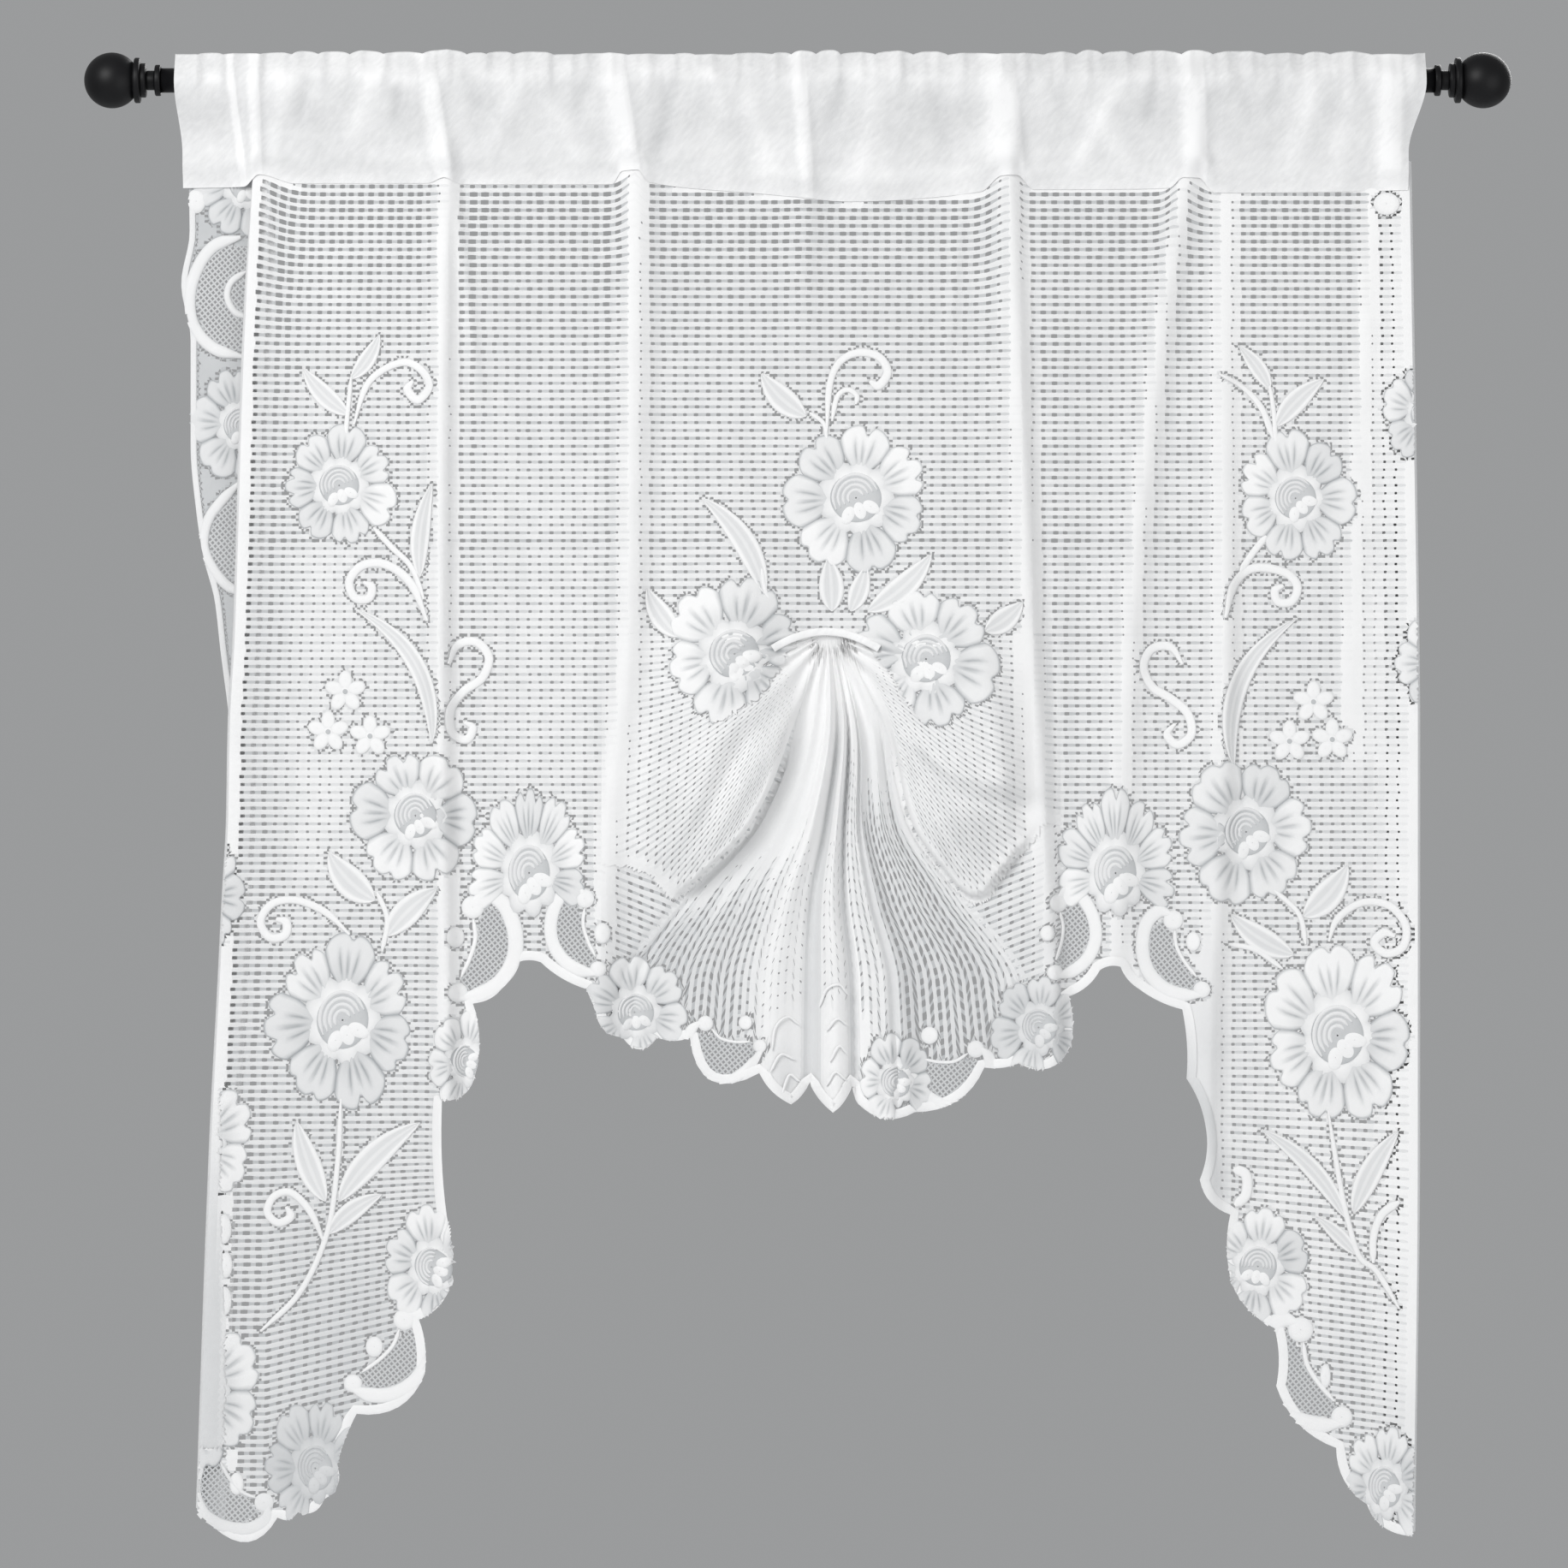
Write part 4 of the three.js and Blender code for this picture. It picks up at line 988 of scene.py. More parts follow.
def lattice_faces(lines_along, lines_across, size):
    """Faces of the bands and gaps, which of them are open, their tones, and every other one"""
    i = np.repeat(np.arange(lines_along - 1), lines_across - 1)
    j = np.tile(np.arange(lines_across - 1), lines_along - 1)
    gap_row = j % len(BAND_LINES) == 0
    in_gap = gap_row & (i % len(GAP_LINES) < 2)
    face_size = size[i // len(GAP_LINES), j // len(BAND_LINES)]
    is_open = in_gap & (face_size > GAP_LEAST)
    tone = lerp(CLOSED_TONE, np.where(gap_row, BRIDGE_TONE, BAND_TONE), smooth(*BRIDGE_SIZES, face_size))
    return grid_faces(lines_along, lines_across), is_open, tone, (i + j) % 2 == 0


# Areas where drawn-up cloth lies over the motifs beside the tie, and levels where the left edge curls over
COVERED = (
    ((812, 856), (850, 838), (887, 815), (906, 788), (922, 760), (938, 742), (967, 736), (967, 1000),
     (812, 1000)),
    ((1000, 742), (1035, 780), (1062, 822), (1092, 864), (1110, 900), (1100, 1000), (967, 1000), (967, 736)),
)
CURL_COVERS = (1240, 1692)


def inside_any(outlines, x, y):
    inside = np.zeros(x.shape, bool)
    for outline in outlines:
        inside |= inside_area(np.asarray(outline, float), x, y)
    return inside


def is_covered(x, y):
    top, foot = CURL_COVERS
    return inside_any(COVERED, x, y) | ((left_curl(x, y) < 0) & (y > top) & (y < foot))


def worked_areas(patches, x, y):
    """Which places lie under a motif, and which in the open ring round one"""
    under = np.zeros(x.shape, bool)
    ring = np.zeros(x.shape, bool)
    for patch in patches:
        low = patch.outline.min(axis=0) - RING_WIDTH
        high = patch.outline.max(axis=0) + RING_WIDTH
        near = np.flatnonzero((x > low[0]) & (x < high[0]) & (y > low[1]) & (y < high[1]))
        if len(near) == 0:
            continue
        closed = np.vstack([patch.outline, patch.outline[:1]])
        under[near] |= inside_area(patch.outline, x[near], y[near])
        ring[near] |= distance_to(closed, x[near], y[near]) < RING_WIDTH
    covered = is_covered(x, y)
    return under & ~covered, ring & ~under & ~covered


# What a piece of net needs: functions of its cells or places, and the motifs and fine meshes that lie on it
Layer = namedtuple("Layer", "cells place surface openness region shade patches meshes back")


def net_piece(name, layer):
    a, b, lift, size = lattice(*layer.cells, layer.place, layer.openness)
    faces, is_open, tone, dotted = lattice_faces(*a.shape, size)
    x, y = (values.ravel() for values in layer.place(a, b))
    fx = x[faces].mean(axis=1)
    fy = y[faces].mean(axis=1)
    keep = layer.region(fx, fy)
    faces, fx, fy, is_open, tone, dotted = (v[keep] for v in (faces, fx, fy, is_open, tone, dotted))
    under, ring = worked_areas(layer.patches, fx, fy)
    cut = inside_any(layer.meshes, fx, fy)
    stays = (under | ~(is_open | (ring & dotted))) & ~(cut & ~under)
    tone = np.where(ring, RING_TONE, tone)
    tone = np.where(under, SOLID_TONE, tone) * layer.shade(fx, fy)
    points = layer.surface(x, y, lift.ravel() - layer.back(x, y))
    return new_piece(name, points, faces[stays], tone[stays], "FACE", LACE)


# Places of the net's cells
BEHIND_SAG = 110
PANEL_ROWS = math.ceil((PANEL_FOOT - PANEL_TOP) / ROW_PITCH)
LEFT_CELLS = 19
RIGHT_CELLS = 20
MIDDLE_CELLS = round((GUIDE_RIGHT - GUIDE_LEFT) / GAP_PITCH)
PANEL_CELLS = LEFT_CELLS + MIDDLE_CELLS + RIGHT_CELLS
CELL_WIDTH = (GUIDE_RIGHT - GUIDE_LEFT) / MIDDLE_CELLS
POUCH_SIDES = [GUIDE_LEFT + cells * CELL_WIDTH for cells in POUCH_SIDE_CELLS]
MIDDLE_END = LEFT_CELLS + MIDDLE_CELLS


def view_line(name, y):
    return view_of(line_x(name, view_z(y)))


def sloping_place(a, b):
    """Front view place of the net below the pouches, whose bands sag towards the fan"""
    x, y = flat_place(a, b)
    return x, y + BEHIND_SAG * nearness(x)


Raise = namedtuple("Raise", "line left right height foot")
RAISES = table(
    Raise,
    ("leftEdge", 30, 34, 17, 430),
    ("swagLeft", 15, 8, 14, 340),
    ("swagRight", 26, 10, 18, 430),
    ("rightRidge", 14, 22, 16, 330),
)
RAISES_FROM = 210
Slope = namedtuple("Slope", "low high start full rise")
TAIL_SLOPES = table(Slope, (310, 560, 1280, 1620, -0.24), (1400, 1700, 1200, 1480, 0.13))


def row_shift(x, y):
    """How far the bands stray from level: up beside the tucks, and on a slope in the tails"""
    shift = 0
    for r in RAISES:
        off = x - view_line(r.line, y)
        shift = shift - r.height * smooth(r.foot, RAISES_FROM, y) * flanked(off, r.left, r.right)
    for tail in TAIL_SLOPES:
        run = np.where((x > tail.low) & (x < tail.high), x - tail.low, 0)
        shift = shift + tail.rise * run * smooth(tail.start, tail.full, y)
    return shift


def flat_place(a, b):
    """Front view place of the net where its bands hang level or nearly so"""
    y = PANEL_TOP + b * ROW_PITCH
    left = lerp(view_line("leftEdge", y), GUIDE_LEFT, a / LEFT_CELLS)
    middle = lerp(GUIDE_LEFT, GUIDE_RIGHT, (a - LEFT_CELLS) / MIDDLE_CELLS)
    right = lerp(GUIDE_RIGHT, view_line("rightEdge", y), (a - MIDDLE_END) / RIGHT_CELLS)
    x = np.where(a < LEFT_CELLS, left, np.where(a < MIDDLE_END, middle, right))
    return x, y + row_shift(x, y)


def nearness(x):
    """How near a place is to the tie, from 0 at the pouch's outer side to 1"""
    reach = np.where(x < TIE_VIEW[0], TIE_VIEW[0] - POUCH_SIDES[0], POUCH_SIDES[1] - TIE_VIEW[0])
    return np.clip(1 - np.abs(x - TIE_VIEW[0]) / reach, 0, 1)


def drawn_y(x, y):
    """Level of a band below the tie, which is drawn up the more the nearer it comes"""
    near = nearness(x)
    return TIE_VIEW[1] + (y - TIE_VIEW[1]) * (1 - near**POUCH_GATHER)


POUCH_ROWS = 52
POUCH_CELLS = 44
POUCH_STEPS = 160


def pouch_place(side):
    """Front view place of a pouch's net: bands from its outer side to the tie, with gaps spaced along each"""
    x = np.linspace(POUCH_SIDES[side > 0], TIE_VIEW[0], POUCH_STEPS)
    wanted = np.arange(POUCH_CELLS + 1) * GAP_PITCH
    gaps = []
    for row in range(POUCH_ROWS + 1):
        y = drawn_y(x, TIE_VIEW[1] + row * ROW_PITCH)
        along = np.append(0, np.cumsum(np.hypot(np.diff(x), np.diff(y))))
        gaps.append(np.interp(wanted, along, x))
    gaps = np.array(gaps)

    def place(a, b):
        row = np.clip(b, 0, POUCH_ROWS - TINY)
        cell = np.clip(a - GAP_LINES[3], 0, POUCH_CELLS - TINY)
        r, c = row.astype(int), cell.astype(int)
        upper = lerp(gaps[r, c], gaps[r, c + 1], cell - c)
        lower = lerp(gaps[r + 1, c], gaps[r + 1, c + 1], cell - c)
        place_x = lerp(upper, lower, row - r)
        return place_x, drawn_y(place_x, TIE_VIEW[1] + b * ROW_PITCH)

    return place


FAN_STAGGER = ((0.45, 2.4, 0), (0.3, 5.1, 1))
FAN_SPARE_CELLS = 2


def fan_place(a, b):
    """Front view place of the fan's net: bands from the tie to the hem, with their gaps out of step"""
    stagger = sum(size * np.sin(rate * b + start) for size, rate, start in FAN_STAGGER)
    y = FAN_HEAD + (a - FAN_SPARE_CELLS / 2 + stagger) * FAN_GAP_PITCH
    return lerp(view_line("fanLeft", y), view_line("fanRight", y), b / FAN_BANDS), y


# How open the net is: bands along the fold lines, and where it closes
OpenBand = namedtuple("OpenBand", "line off half more top foot")
OPEN_BANDS = table(
    OpenBand,
    ("leftEdge", 36, 25, 0.4, 180, 1760), ("leftEdge", 105, 50, -0.22, 660, 1000),
    ("leftRidge", 30, 16, 0.3, 180, 1250), ("swagLeft", -26, 16, 0.25, 200, 1000),
    ("swagRight", 40, 30, 0.2, 400, 1060), ("rightSoft", 26, 20, 0.05, 180, 420),
    ("rightSoft", 90, 80, -0.2, 1200, 1560), ("leftRidge", 120, 90, -0.12, 560, 960),
    ("rightCrease", 0, 12, -0.95, 180, 860), ("rightCrease", 27, 15, -0.35, 180, 860),
    ("rightEdge", -34, 22, -0.35, 900, 1800),
)
CLOSES_BY_FAN = (1, 6)
POUCH_OPEN = 0.85
CLOSED_BY_TIE = 90
CLOSES_BELOW_TIE = (-20, 30)
TURNED_EDGE_FROM = 1300
TURNED_EDGE = (1434, 1408)
TURNED_EDGE_TOP = (1080, 1140)
TURNED_EDGE_FOOT = (1460, 1420)
LEFT_CURL_LEVELS = (188, 1050, 1250, 1400, 1560, 1800)
LEFT_CURL = (0, 0, 6, 13, 24, 30)
# Painted shade on the curled left edge: the levels where it sets in, the reach across the edge over which it
# grows, and the tone it ends at
LEFT_CURL_GREYS = (1240, 1500)
LEFT_CURL_EDGE = (4, -8)
LEFT_CURL_PAINTED_SHADE = 0.62
LEFT_HEM = (5, 9)
SEAM_HEM = (0, 4)


def left_curl(x, y):
    """How far a place lies inside the smooth strip where the left edge curls back towards the foot"""
    return x - view_line("leftEdge", y) - np.interp(y, LEFT_CURL_LEVELS, LEFT_CURL)


def panel_openness(x, y):
    creased = 1 + PACKING_CREASE_OPENS * bump((y - PACKING_CREASE_Y) / PACKING_CREASE_HALF)
    size = np.interp(y, OPEN_LEVELS, OPEN_SIZES) * creased
    for band in OPEN_BANDS:
        reach = smooth(band.top - OPEN_FADE, band.top, y) * smooth(band.foot + OPEN_FADE, band.foot, y)
        size = size * (1 + band.more * reach * bump((x - view_line(band.line, y) - band.off) / band.half))
    for ridge in RIDGES:
        size = size * (1 - ridge.closes * bump((x - view_line(ridge.line, y)) / ridge.crest))
    size = size * smooth(*LEFT_HEM, left_curl(x, y))
    size = size * smooth(*SEAM_HEM, y - np.interp(x, SEAM_PLACES, SEAM_LEVELS))
    turned = smooth(*TURNED_EDGE, x) * (x > TURNED_EDGE_FROM)
    size = size * (1 - turned * smooth(*TURNED_EDGE_TOP, y) * smooth(*TURNED_EDGE_FOOT, y))
    below = smooth(*CLOSES_BELOW_TIE, y - TIE_VIEW[1])
    return size * (1 - below * bump(np.hypot(x - TIE_VIEW[0], y - TIE_VIEW[1]) / CLOSED_BY_TIE))


def pouch_openness(x, y):
    return POUCH_OPEN * panel_openness(x, y) * smooth(*CLOSES_BY_FAN, swag_at(x, y).pouch)


# Fan from its left side (0) to its right (1): how open its net is, its painted shade, and where its gaps
# start
FAN_FACETS = (
    (0, 0.7, 0.84, 1040), (0.04, 0.9, 0.76, 1030), (0.09, 1, 0.8, 1000), (0.28, 1, 0.88, 985),
    (0.35, 0.35, 1, 920), (0.45, 0.35, 1, 930), (0.46, 0, 0.62, 930), (0.49, 0, 0.66, 920),
    (0.5, 0.35, 1, 890), (0.56, 0.35, 1, 920), (0.572, 0, 0.56, 930), (0.59, 0.6, 1, 850),
    (0.65, 0.6, 1, 850), (0.67, 0, 0.66, 930), (0.7, 1.25, 0.82, 890), (0.89, 1.25, 0.82, 900),
    (0.95, 0.7, 0.92, 960), (1, 0.5, 0.88, 1030),
)
FAN_PLACES, FAN_OPEN, FAN_PAINTED_SHADE, FAN_STARTS = zip(*FAN_FACETS)
FAN_START_UNEVEN = 28
FAN_START_WAVES = 90
FAN_OPENS_OVER = 90
FAN_SHADES = (800, 900)
FAN_CLOSES = ((0.36, 0.4), (0.64, 0.58), (1165, 1205))


def fan_openness(x, y):
    across = swag_at(x, y).fan
    start = np.interp(across, FAN_PLACES, FAN_STARTS) + FAN_START_UNEVEN * np.sin(FAN_START_WAVES * across)
    left, right, levels = FAN_CLOSES
    closed = smooth(*left, across) * smooth(*right, across) * smooth(*levels, y)
    return np.interp(across, FAN_PLACES, FAN_OPEN) * smooth(0, FAN_OPENS_OVER, y - start) * (1 - closed)


def fan_shade(x, y):
    """Facets of the fan that turn away from the light look greyer, from below its head on"""
    facet = np.interp(swag_at(x, y).fan, FAN_PLACES, FAN_PAINTED_SHADE)
    return panel_shade(x, y) * lerp(1, facet, smooth(*FAN_SHADES, y))


# Areas of painted shade over the net's tone, and of painted light where the amount is negative
Shade = namedtuple("Shade", "x y wide high amount")
PAINTED_SHADE_AREAS = table(
    Shade,
    (420, 1560, 90, 90, 0.22), (370, 1700, 60, 70, 0.4), (1410, 1230, 30, 140, 0.25),
    (1420, 1380, 26, 40, 0.3), (1245, 960, 40, 90, 0.08), (918, 1262, 22, 40, 0.2),
    (1240, 1110, 40, 60, 0.2), (1640, 1700, 26, 120, 0.15), (740, 1130, 60, 60, 0.15),
    (1560, 1400, 110, 260, -0.15), (1510, 330, 90, 150, -0.12), (400, 330, 80, 120, -0.09),
    (360, 1420, 100, 140, 0.12), (840, 930, 60, 80, -0.15),
)


def panel_shade(x, y):
    """Painted shade over listed areas, painted light where an area's amount is negative, and painted shade on
    the closed edge that curls back the most
    """
    tone = np.ones(np.shape(x))
    for area in PAINTED_SHADE_AREAS:
        tone = tone * (1 - area.amount * bump((x - area.x) / area.wide) * bump((y - area.y) / area.high))
    curled = smooth(*LEFT_CURL_EDGE, left_curl(x, y)) * smooth(*LEFT_CURL_GREYS, y)
    return tone * lerp(1, LEFT_CURL_PAINTED_SHADE, curled)


HEM_CURVE = hem_curve()
HEM_AREA = np.vstack([HEM_CURVE, [[HEM[-1].x, HEM_ABOVE], [HEM[0].x, HEM_ABOVE]]])
HEM_TOP = 1100
HEM_INSET = 4.5
STEP_OVERLAP = 4.0
BEHIND_REACH = 4.5
POUCH_SIDE_GAP = 0.2


def above_hem(x, y):
    inside = inside_area(HEM_AREA, x, y)
    close = np.flatnonzero(inside & (y > HEM_TOP))
    inside[close] = distance_to(HEM_CURVE, x[close], y[close]) > HEM_INSET
    return inside


def in_swag(x, y):
    return (x > POUCH_SIDES[0]) & (x < POUCH_SIDES[1]) & (y > TIE_VIEW[1])


def panel_region(x, y):
    return above_hem(x, y) & ~in_swag(x, y)


def pouch_region(side):
    def region(x, y):
        reach = np.abs(POUCH_SIDES[side > 0] - TIE_VIEW[0]) - POUCH_SIDE_GAP
        within = np.abs(x - TIE_VIEW[0]) < reach
        return ((x - TIE_VIEW[0]) * side > 0) & within & (swag_at(x, y).pouch > -STEP_OVERLAP)

    return region


def behind_pouch_region(x, y):
    place = swag_at(x, y)
    below = place.pouch < BEHIND_REACH - STEP_OVERLAP
    return above_hem(x, y) & in_swag(x, y) & below & (place.outside > -STEP_OVERLAP)


def fan_region(x, y):
    outside = swag_at(x, y).outside
    return above_hem(x, y) & (outside < BEHIND_REACH - STEP_OVERLAP) & (y > FAN_HEAD)


def part_of(region, low, high):
    return lambda x, y: region(x, y) & (x >= low) & (x < high)


# Materials
CLOUD_SCALE = 34
CLOUD_DETAIL = 4
FIBRE_SCALE = 420
FIBRE_TURN = 0.7
FIBRE_DRAWN = 3.3
Cloth = namedtuple("Cloth", "thin thick clouds fibres weave_scale weave_depth")
LACE_CLOTH = Cloth((0.395, 0.412, 0.425), (0.92, 0.918, 0.916), 0.16, 0.05, 1400, 0.0003)
COTTON_CLOTH = Cloth((0.445, 0.452, 0.458), (0.936, 0.935, 0.934), 0.55, 0.35, 2200, 0.00025)
WEAVE_DETAIL = 3
WEAVE_STRENGTH = 0.5
CLOTH_FINISH = {"Roughness": 0.88, "Sheen Weight": 0.15, "Sheen Roughness": 0.5}
PAINT_BLACKS = ((0.003, 0.003, 0.0035, 1), (0.008, 0.008, 0.009, 1))
PAINT_ROUGHNESS = (0.38, 0.52)
PAINT_FINISH = {"Specular IOR Level": 0.22}
PAINT_MOTTLE_SCALE = 40
PAINT_GRAIN_SCALE = 900
PAINT_GRAIN_STRENGTH = 0.12
PAINT_GRAIN_DEPTH = 0.0002


def fill(tree, node, sockets):
    """Give a node's sockets their values, or the outputs that feed them"""
    for name, value in sockets.items():
        if isinstance(value, bpy.types.NodeSocket):
            tree.links.new(value, node.inputs[name])
        else:
            node.inputs[name].default_value = value


def add(tree, kind, result, sockets, **settings):
    """New shader node with its settings and sockets, and the output asked for"""
    node = tree.nodes.new("ShaderNode" + kind)
    for name, value in settings.items():
        setattr(node, name, value)
    fill(tree, node, sockets)
    return node.outputs[result]


def new_material(name):
    material = bpy.data.materials.new(name)
    material.use_nodes = True
    return material, material.node_tree, material.node_tree.nodes["Principled BSDF"]


def noise(tree, place, scale, detail=2):
    return add(tree, "TexNoise", "Fac", {"Vector": place, "Scale": scale, "Detail": detail})


def bumps(tree, height, strength, distance):
    return add(tree, "Bump", "Normal", {"Height": height, "Strength": strength, "Distance": distance})


def slanting(tree, place):
    """Places turned and drawn out, so that a noise on them looks like slanting fibres"""
    sockets = {"Vector": place, "Rotation": (0, FIBRE_TURN, 0), "Scale": (1, 1, FIBRE_DRAWN)}
    return add(tree, "Mapping", "Vector", sockets, vector_type="TEXTURE")


def cloth_material(name, cloth):
    """White thread: a place's tone leads from thin grey to thick white, with clouds, fibres and a grain; in
    places the tone also holds painted shade and painted light
    """
    material, tree, shader = new_material(name)
    place = add(tree, "TexCoord", "Object", {})
    tone = add(tree, "Attribute", "Fac", {}, attribute_name="tone")
    clouds = noise(tree, place, CLOUD_SCALE, CLOUD_DETAIL)
    fibres = noise(tree, slanting(tree, place), FIBRE_SCALE)
    for field, amount in ((clouds, cloth.clouds), (fibres, cloth.fibres)):
        tone = add(tree, "Math", "Value", {0: field, 1: amount, 2: tone}, operation="MULTIPLY_ADD")
    raised = (cloth.clouds + cloth.fibres) / 2
    tone = add(tree, "Math", "Value", {0: tone, 1: raised}, operation="SUBTRACT", use_clamp=True)
    ends = {"Factor": tone, "A": (*cloth.thin, 1), "B": (*cloth.thick, 1)}
    weave = noise(tree, place, cloth.weave_scale, WEAVE_DETAIL)
    fill(tree, shader, {"Base Color": add(tree, "Mix", "Result", ends, data_type="RGBA")})
    fill(tree, shader, {"Normal": bumps(tree, weave, WEAVE_STRENGTH, cloth.weave_depth)})
    fill(tree, shader, CLOTH_FINISH)
    return material


def black_paint():
    material, tree, shader = new_material("black_satin_paint")
    place = add(tree, "TexCoord", "Object", {})
    grain = noise(tree, place, PAINT_GRAIN_SCALE)
    mottle = noise(tree, place, PAINT_MOTTLE_SCALE)
    ends = {"Factor": mottle, "A": PAINT_BLACKS[0], "B": PAINT_BLACKS[1]}
    rough = {"Value": mottle, "To Min": PAINT_ROUGHNESS[0], "To Max": PAINT_ROUGHNESS[1]}
    fill(tree, shader, {"Base Color": add(tree, "Mix", "Result", ends, data_type="RGBA")})
    fill(tree, shader, {"Roughness": add(tree, "MapRange", "Result", rough)})
    fill(tree, shader, {"Normal": bumps(tree, grain, PAINT_GRAIN_STRENGTH, PAINT_GRAIN_DEPTH)})
    fill(tree, shader, PAINT_FINISH)
    return material


LACE = cloth_material("lace_thread", LACE_CLOTH)
COTTON = cloth_material("heading_cotton", COTTON_CLOTH)
PAINT = black_paint()


# Lace
LACE_PARTS = (("lace_left", 0, 640), ("lace_middle", 640, 1290), ("lace_right", 1290, 2000))
POUCHES = (("lace_left_pouch", -1), ("lace_right_pouch", 1))
BEHIND = 0.8
# Painted shade on the net under the pouches, growing towards the tie
UNDER_POUCH_PAINTED_SHADE = 0.92
BEHIND_GREYS_OVER = 0.4
BEHIND_STEPS_OVER = 0.1
FAN_STEPS_BACK = (760, 850)
FAN_CELLS = math.ceil((FAN_FOOT - FAN_HEAD) / FAN_GAP_PITCH) + FAN_SPARE_CELLS


def always(value):
    """Function of places that gives the same value everywhere"""
    return lambda x, y: np.full(np.shape(x), value)


def behind_pouch(x, y):
    return BEHIND * smooth(0, BEHIND_STEPS_OVER, nearness(x))


def behind_shade(x, y):
    return panel_shade(x, y) * lerp(1, UNDER_POUCH_PAINTED_SHADE, smooth(0, BEHIND_GREYS_OVER, nearness(x)))


def behind_fan(x, y):
    return BEHIND * smooth(*FAN_STEPS_BACK, y)


patches = front_patches()
meshes = [medallion_places(m, MEDALLION_MESH) for m in MEDALLIONS]
PANEL = Layer(
    cells=(PANEL_CELLS, PANEL_ROWS),
    place=flat_place,
    surface=on_cloth,
    openness=panel_openness,
    region=panel_region,
    shade=panel_shade,
    patches=patches,
    meshes=meshes,
    back=always(0.0),
)
POUCH = PANEL._replace(cells=(POUCH_CELLS, POUCH_ROWS), openness=pouch_openness)
UNDER_POUCH = PANEL._replace(
    place=sloping_place, region=behind_pouch_region, shade=behind_shade, back=behind_pouch
)
FAN = PANEL._replace(
    cells=(FAN_CELLS, FAN_BANDS),
    place=fan_place,
    openness=fan_openness,
    region=fan_region,
    shade=fan_shade,
    back=behind_fan,
)
net_pieces = []
for name, low, high in LACE_PARTS:
    net_pieces.append(net_piece(name, PANEL._replace(region=part_of(panel_region, low, high))))
for name, side in POUCHES:
    net_pieces.append(net_piece(name, POUCH._replace(place=pouch_place(side), region=pouch_region(side))))
net_pieces.append(net_piece("lace_behind_pouches", UNDER_POUCH))
net_pieces.append(net_piece("lace_fan", FAN))


# Left and right borders
BORDER_CELLS = 6
STRIP_HEAD = 210
STRIP_FOOT = 862
# The strip beside the left edge is dark partly for its dense mesh and partly by painted shade, as it hangs
# behind; the turned folds of both borders get painted shade
STRIP_MESH_AND_SHADE_TONE = 0.34
FOLD_PAINTED_SHADE = 0.75
STRIP_EDGE_HALF = 3.5
STRIP_EDGE_HEIGHT = 0.5
STRIP_EDGE_TONE = 0.8
STRIP_EDGE_ENDS = (226, STRIP_FOOT - 8)
STRIP_EDGE_STEPS = 60


def fold_place(a, b):
    return a / BORDER_CELLS, PANEL_TOP + b * ROW_PITCH


def strip_edges(y):
    """Front view places of the strip's inner fold and selvedge"""
    return [view_of(x) for x in strip_sides(view_z(y))]


def strip_place(a, b):
    y = PANEL_TOP + b * ROW_PITCH
    return lerp(*strip_edges(y), a / BORDER_CELLS), y


def fold_region(surface):
    def region(unit, y):
        x = surface(unit, y, np.zeros_like(unit))[:, 0] * MM_PER_METRE
        return above_hem(view_of(x), y)

    return region


def strip_region(x, y):
    return y < STRIP_FOOT


def strip_edge():
    """Cord along the strip's selvedge"""
    y = np.linspace(*STRIP_EDGE_ENDS, STRIP_EDGE_STEPS)
    path = np.stack([strip_edges(y)[1] + STRIP_EDGE_HALF, y], axis=1)
    half = np.full(len(y), STRIP_EDGE_HALF)
    return strip_patch(path, half, CORD_ACROSS, cord_lift(STRIP_EDGE_HEIGHT), STRIP_EDGE_TONE)


# The strip's cords, lobe and selvedge cord are drawn a little grey: painted shade, as the strip hangs behind
def strip_patches():
    patches = []
    for row in STRIP_FLOWERS:
        patches += flower(row)
    patches += [cord(*row, height=1.0, tone=0.85) for row in STRIP_CORDS]
    return [*patches, disc(*STRIP_LOBE, height=1.0, tone=0.9), strip_edge()]


strip_work = strip_patches()
strip_meshes = [np.asarray(outline, float) for outline in STRIP_MESHES]
LEFT_FOLD = Layer(
    cells=(BORDER_CELLS, PANEL_ROWS),
    place=fold_place,
    surface=on_left_border,
    openness=always(0.0),
    region=fold_region(on_left_border),
    shade=always(FOLD_PAINTED_SHADE),
    patches=[],
    meshes=[],
    back=always(0.0),
)
RIGHT_FOLD = LEFT_FOLD._replace(surface=on_right_border, region=fold_region(on_right_border))
LEFT_STRIP = LEFT_FOLD._replace(
    place=strip_place,
    surface=on_strip,
    region=strip_region,
    shade=always(STRIP_MESH_AND_SHADE_TONE),
    patches=strip_work,
    meshes=strip_meshes,
)
left_fold = net_piece("lace_left_fold", LEFT_FOLD)
left_strip = net_piece("lace_left_strip", LEFT_STRIP)
right_fold = net_piece("lace_right_fold", RIGHT_FOLD)


# Motifs, border mesh and hem edging
EDGING_HALF = 5.5
EDGING_HEIGHT = 0.35
EDGING_INSET = 5.0
EDGING_ENDS = (236, 1652)
TURNED_HEM_FROM = 1300
TURNED_HEM_Y = 1300
TURNED_HEM_HALF = 85
TURNED_HEM_PAINTED_SHADE = 0.45


def front_keep(x, y):
    inside = inside_area(HEM_AREA, x, y) & ~is_covered(x, y)
    return inside & (x > view_line("leftEdge", y)) & (x < view_line("rightEdge", y))


def strip_keep(x, y):
    inner, selvedge = strip_edges(y)
    return (x < inner) & (x > selvedge) & (y > STRIP_HEAD)


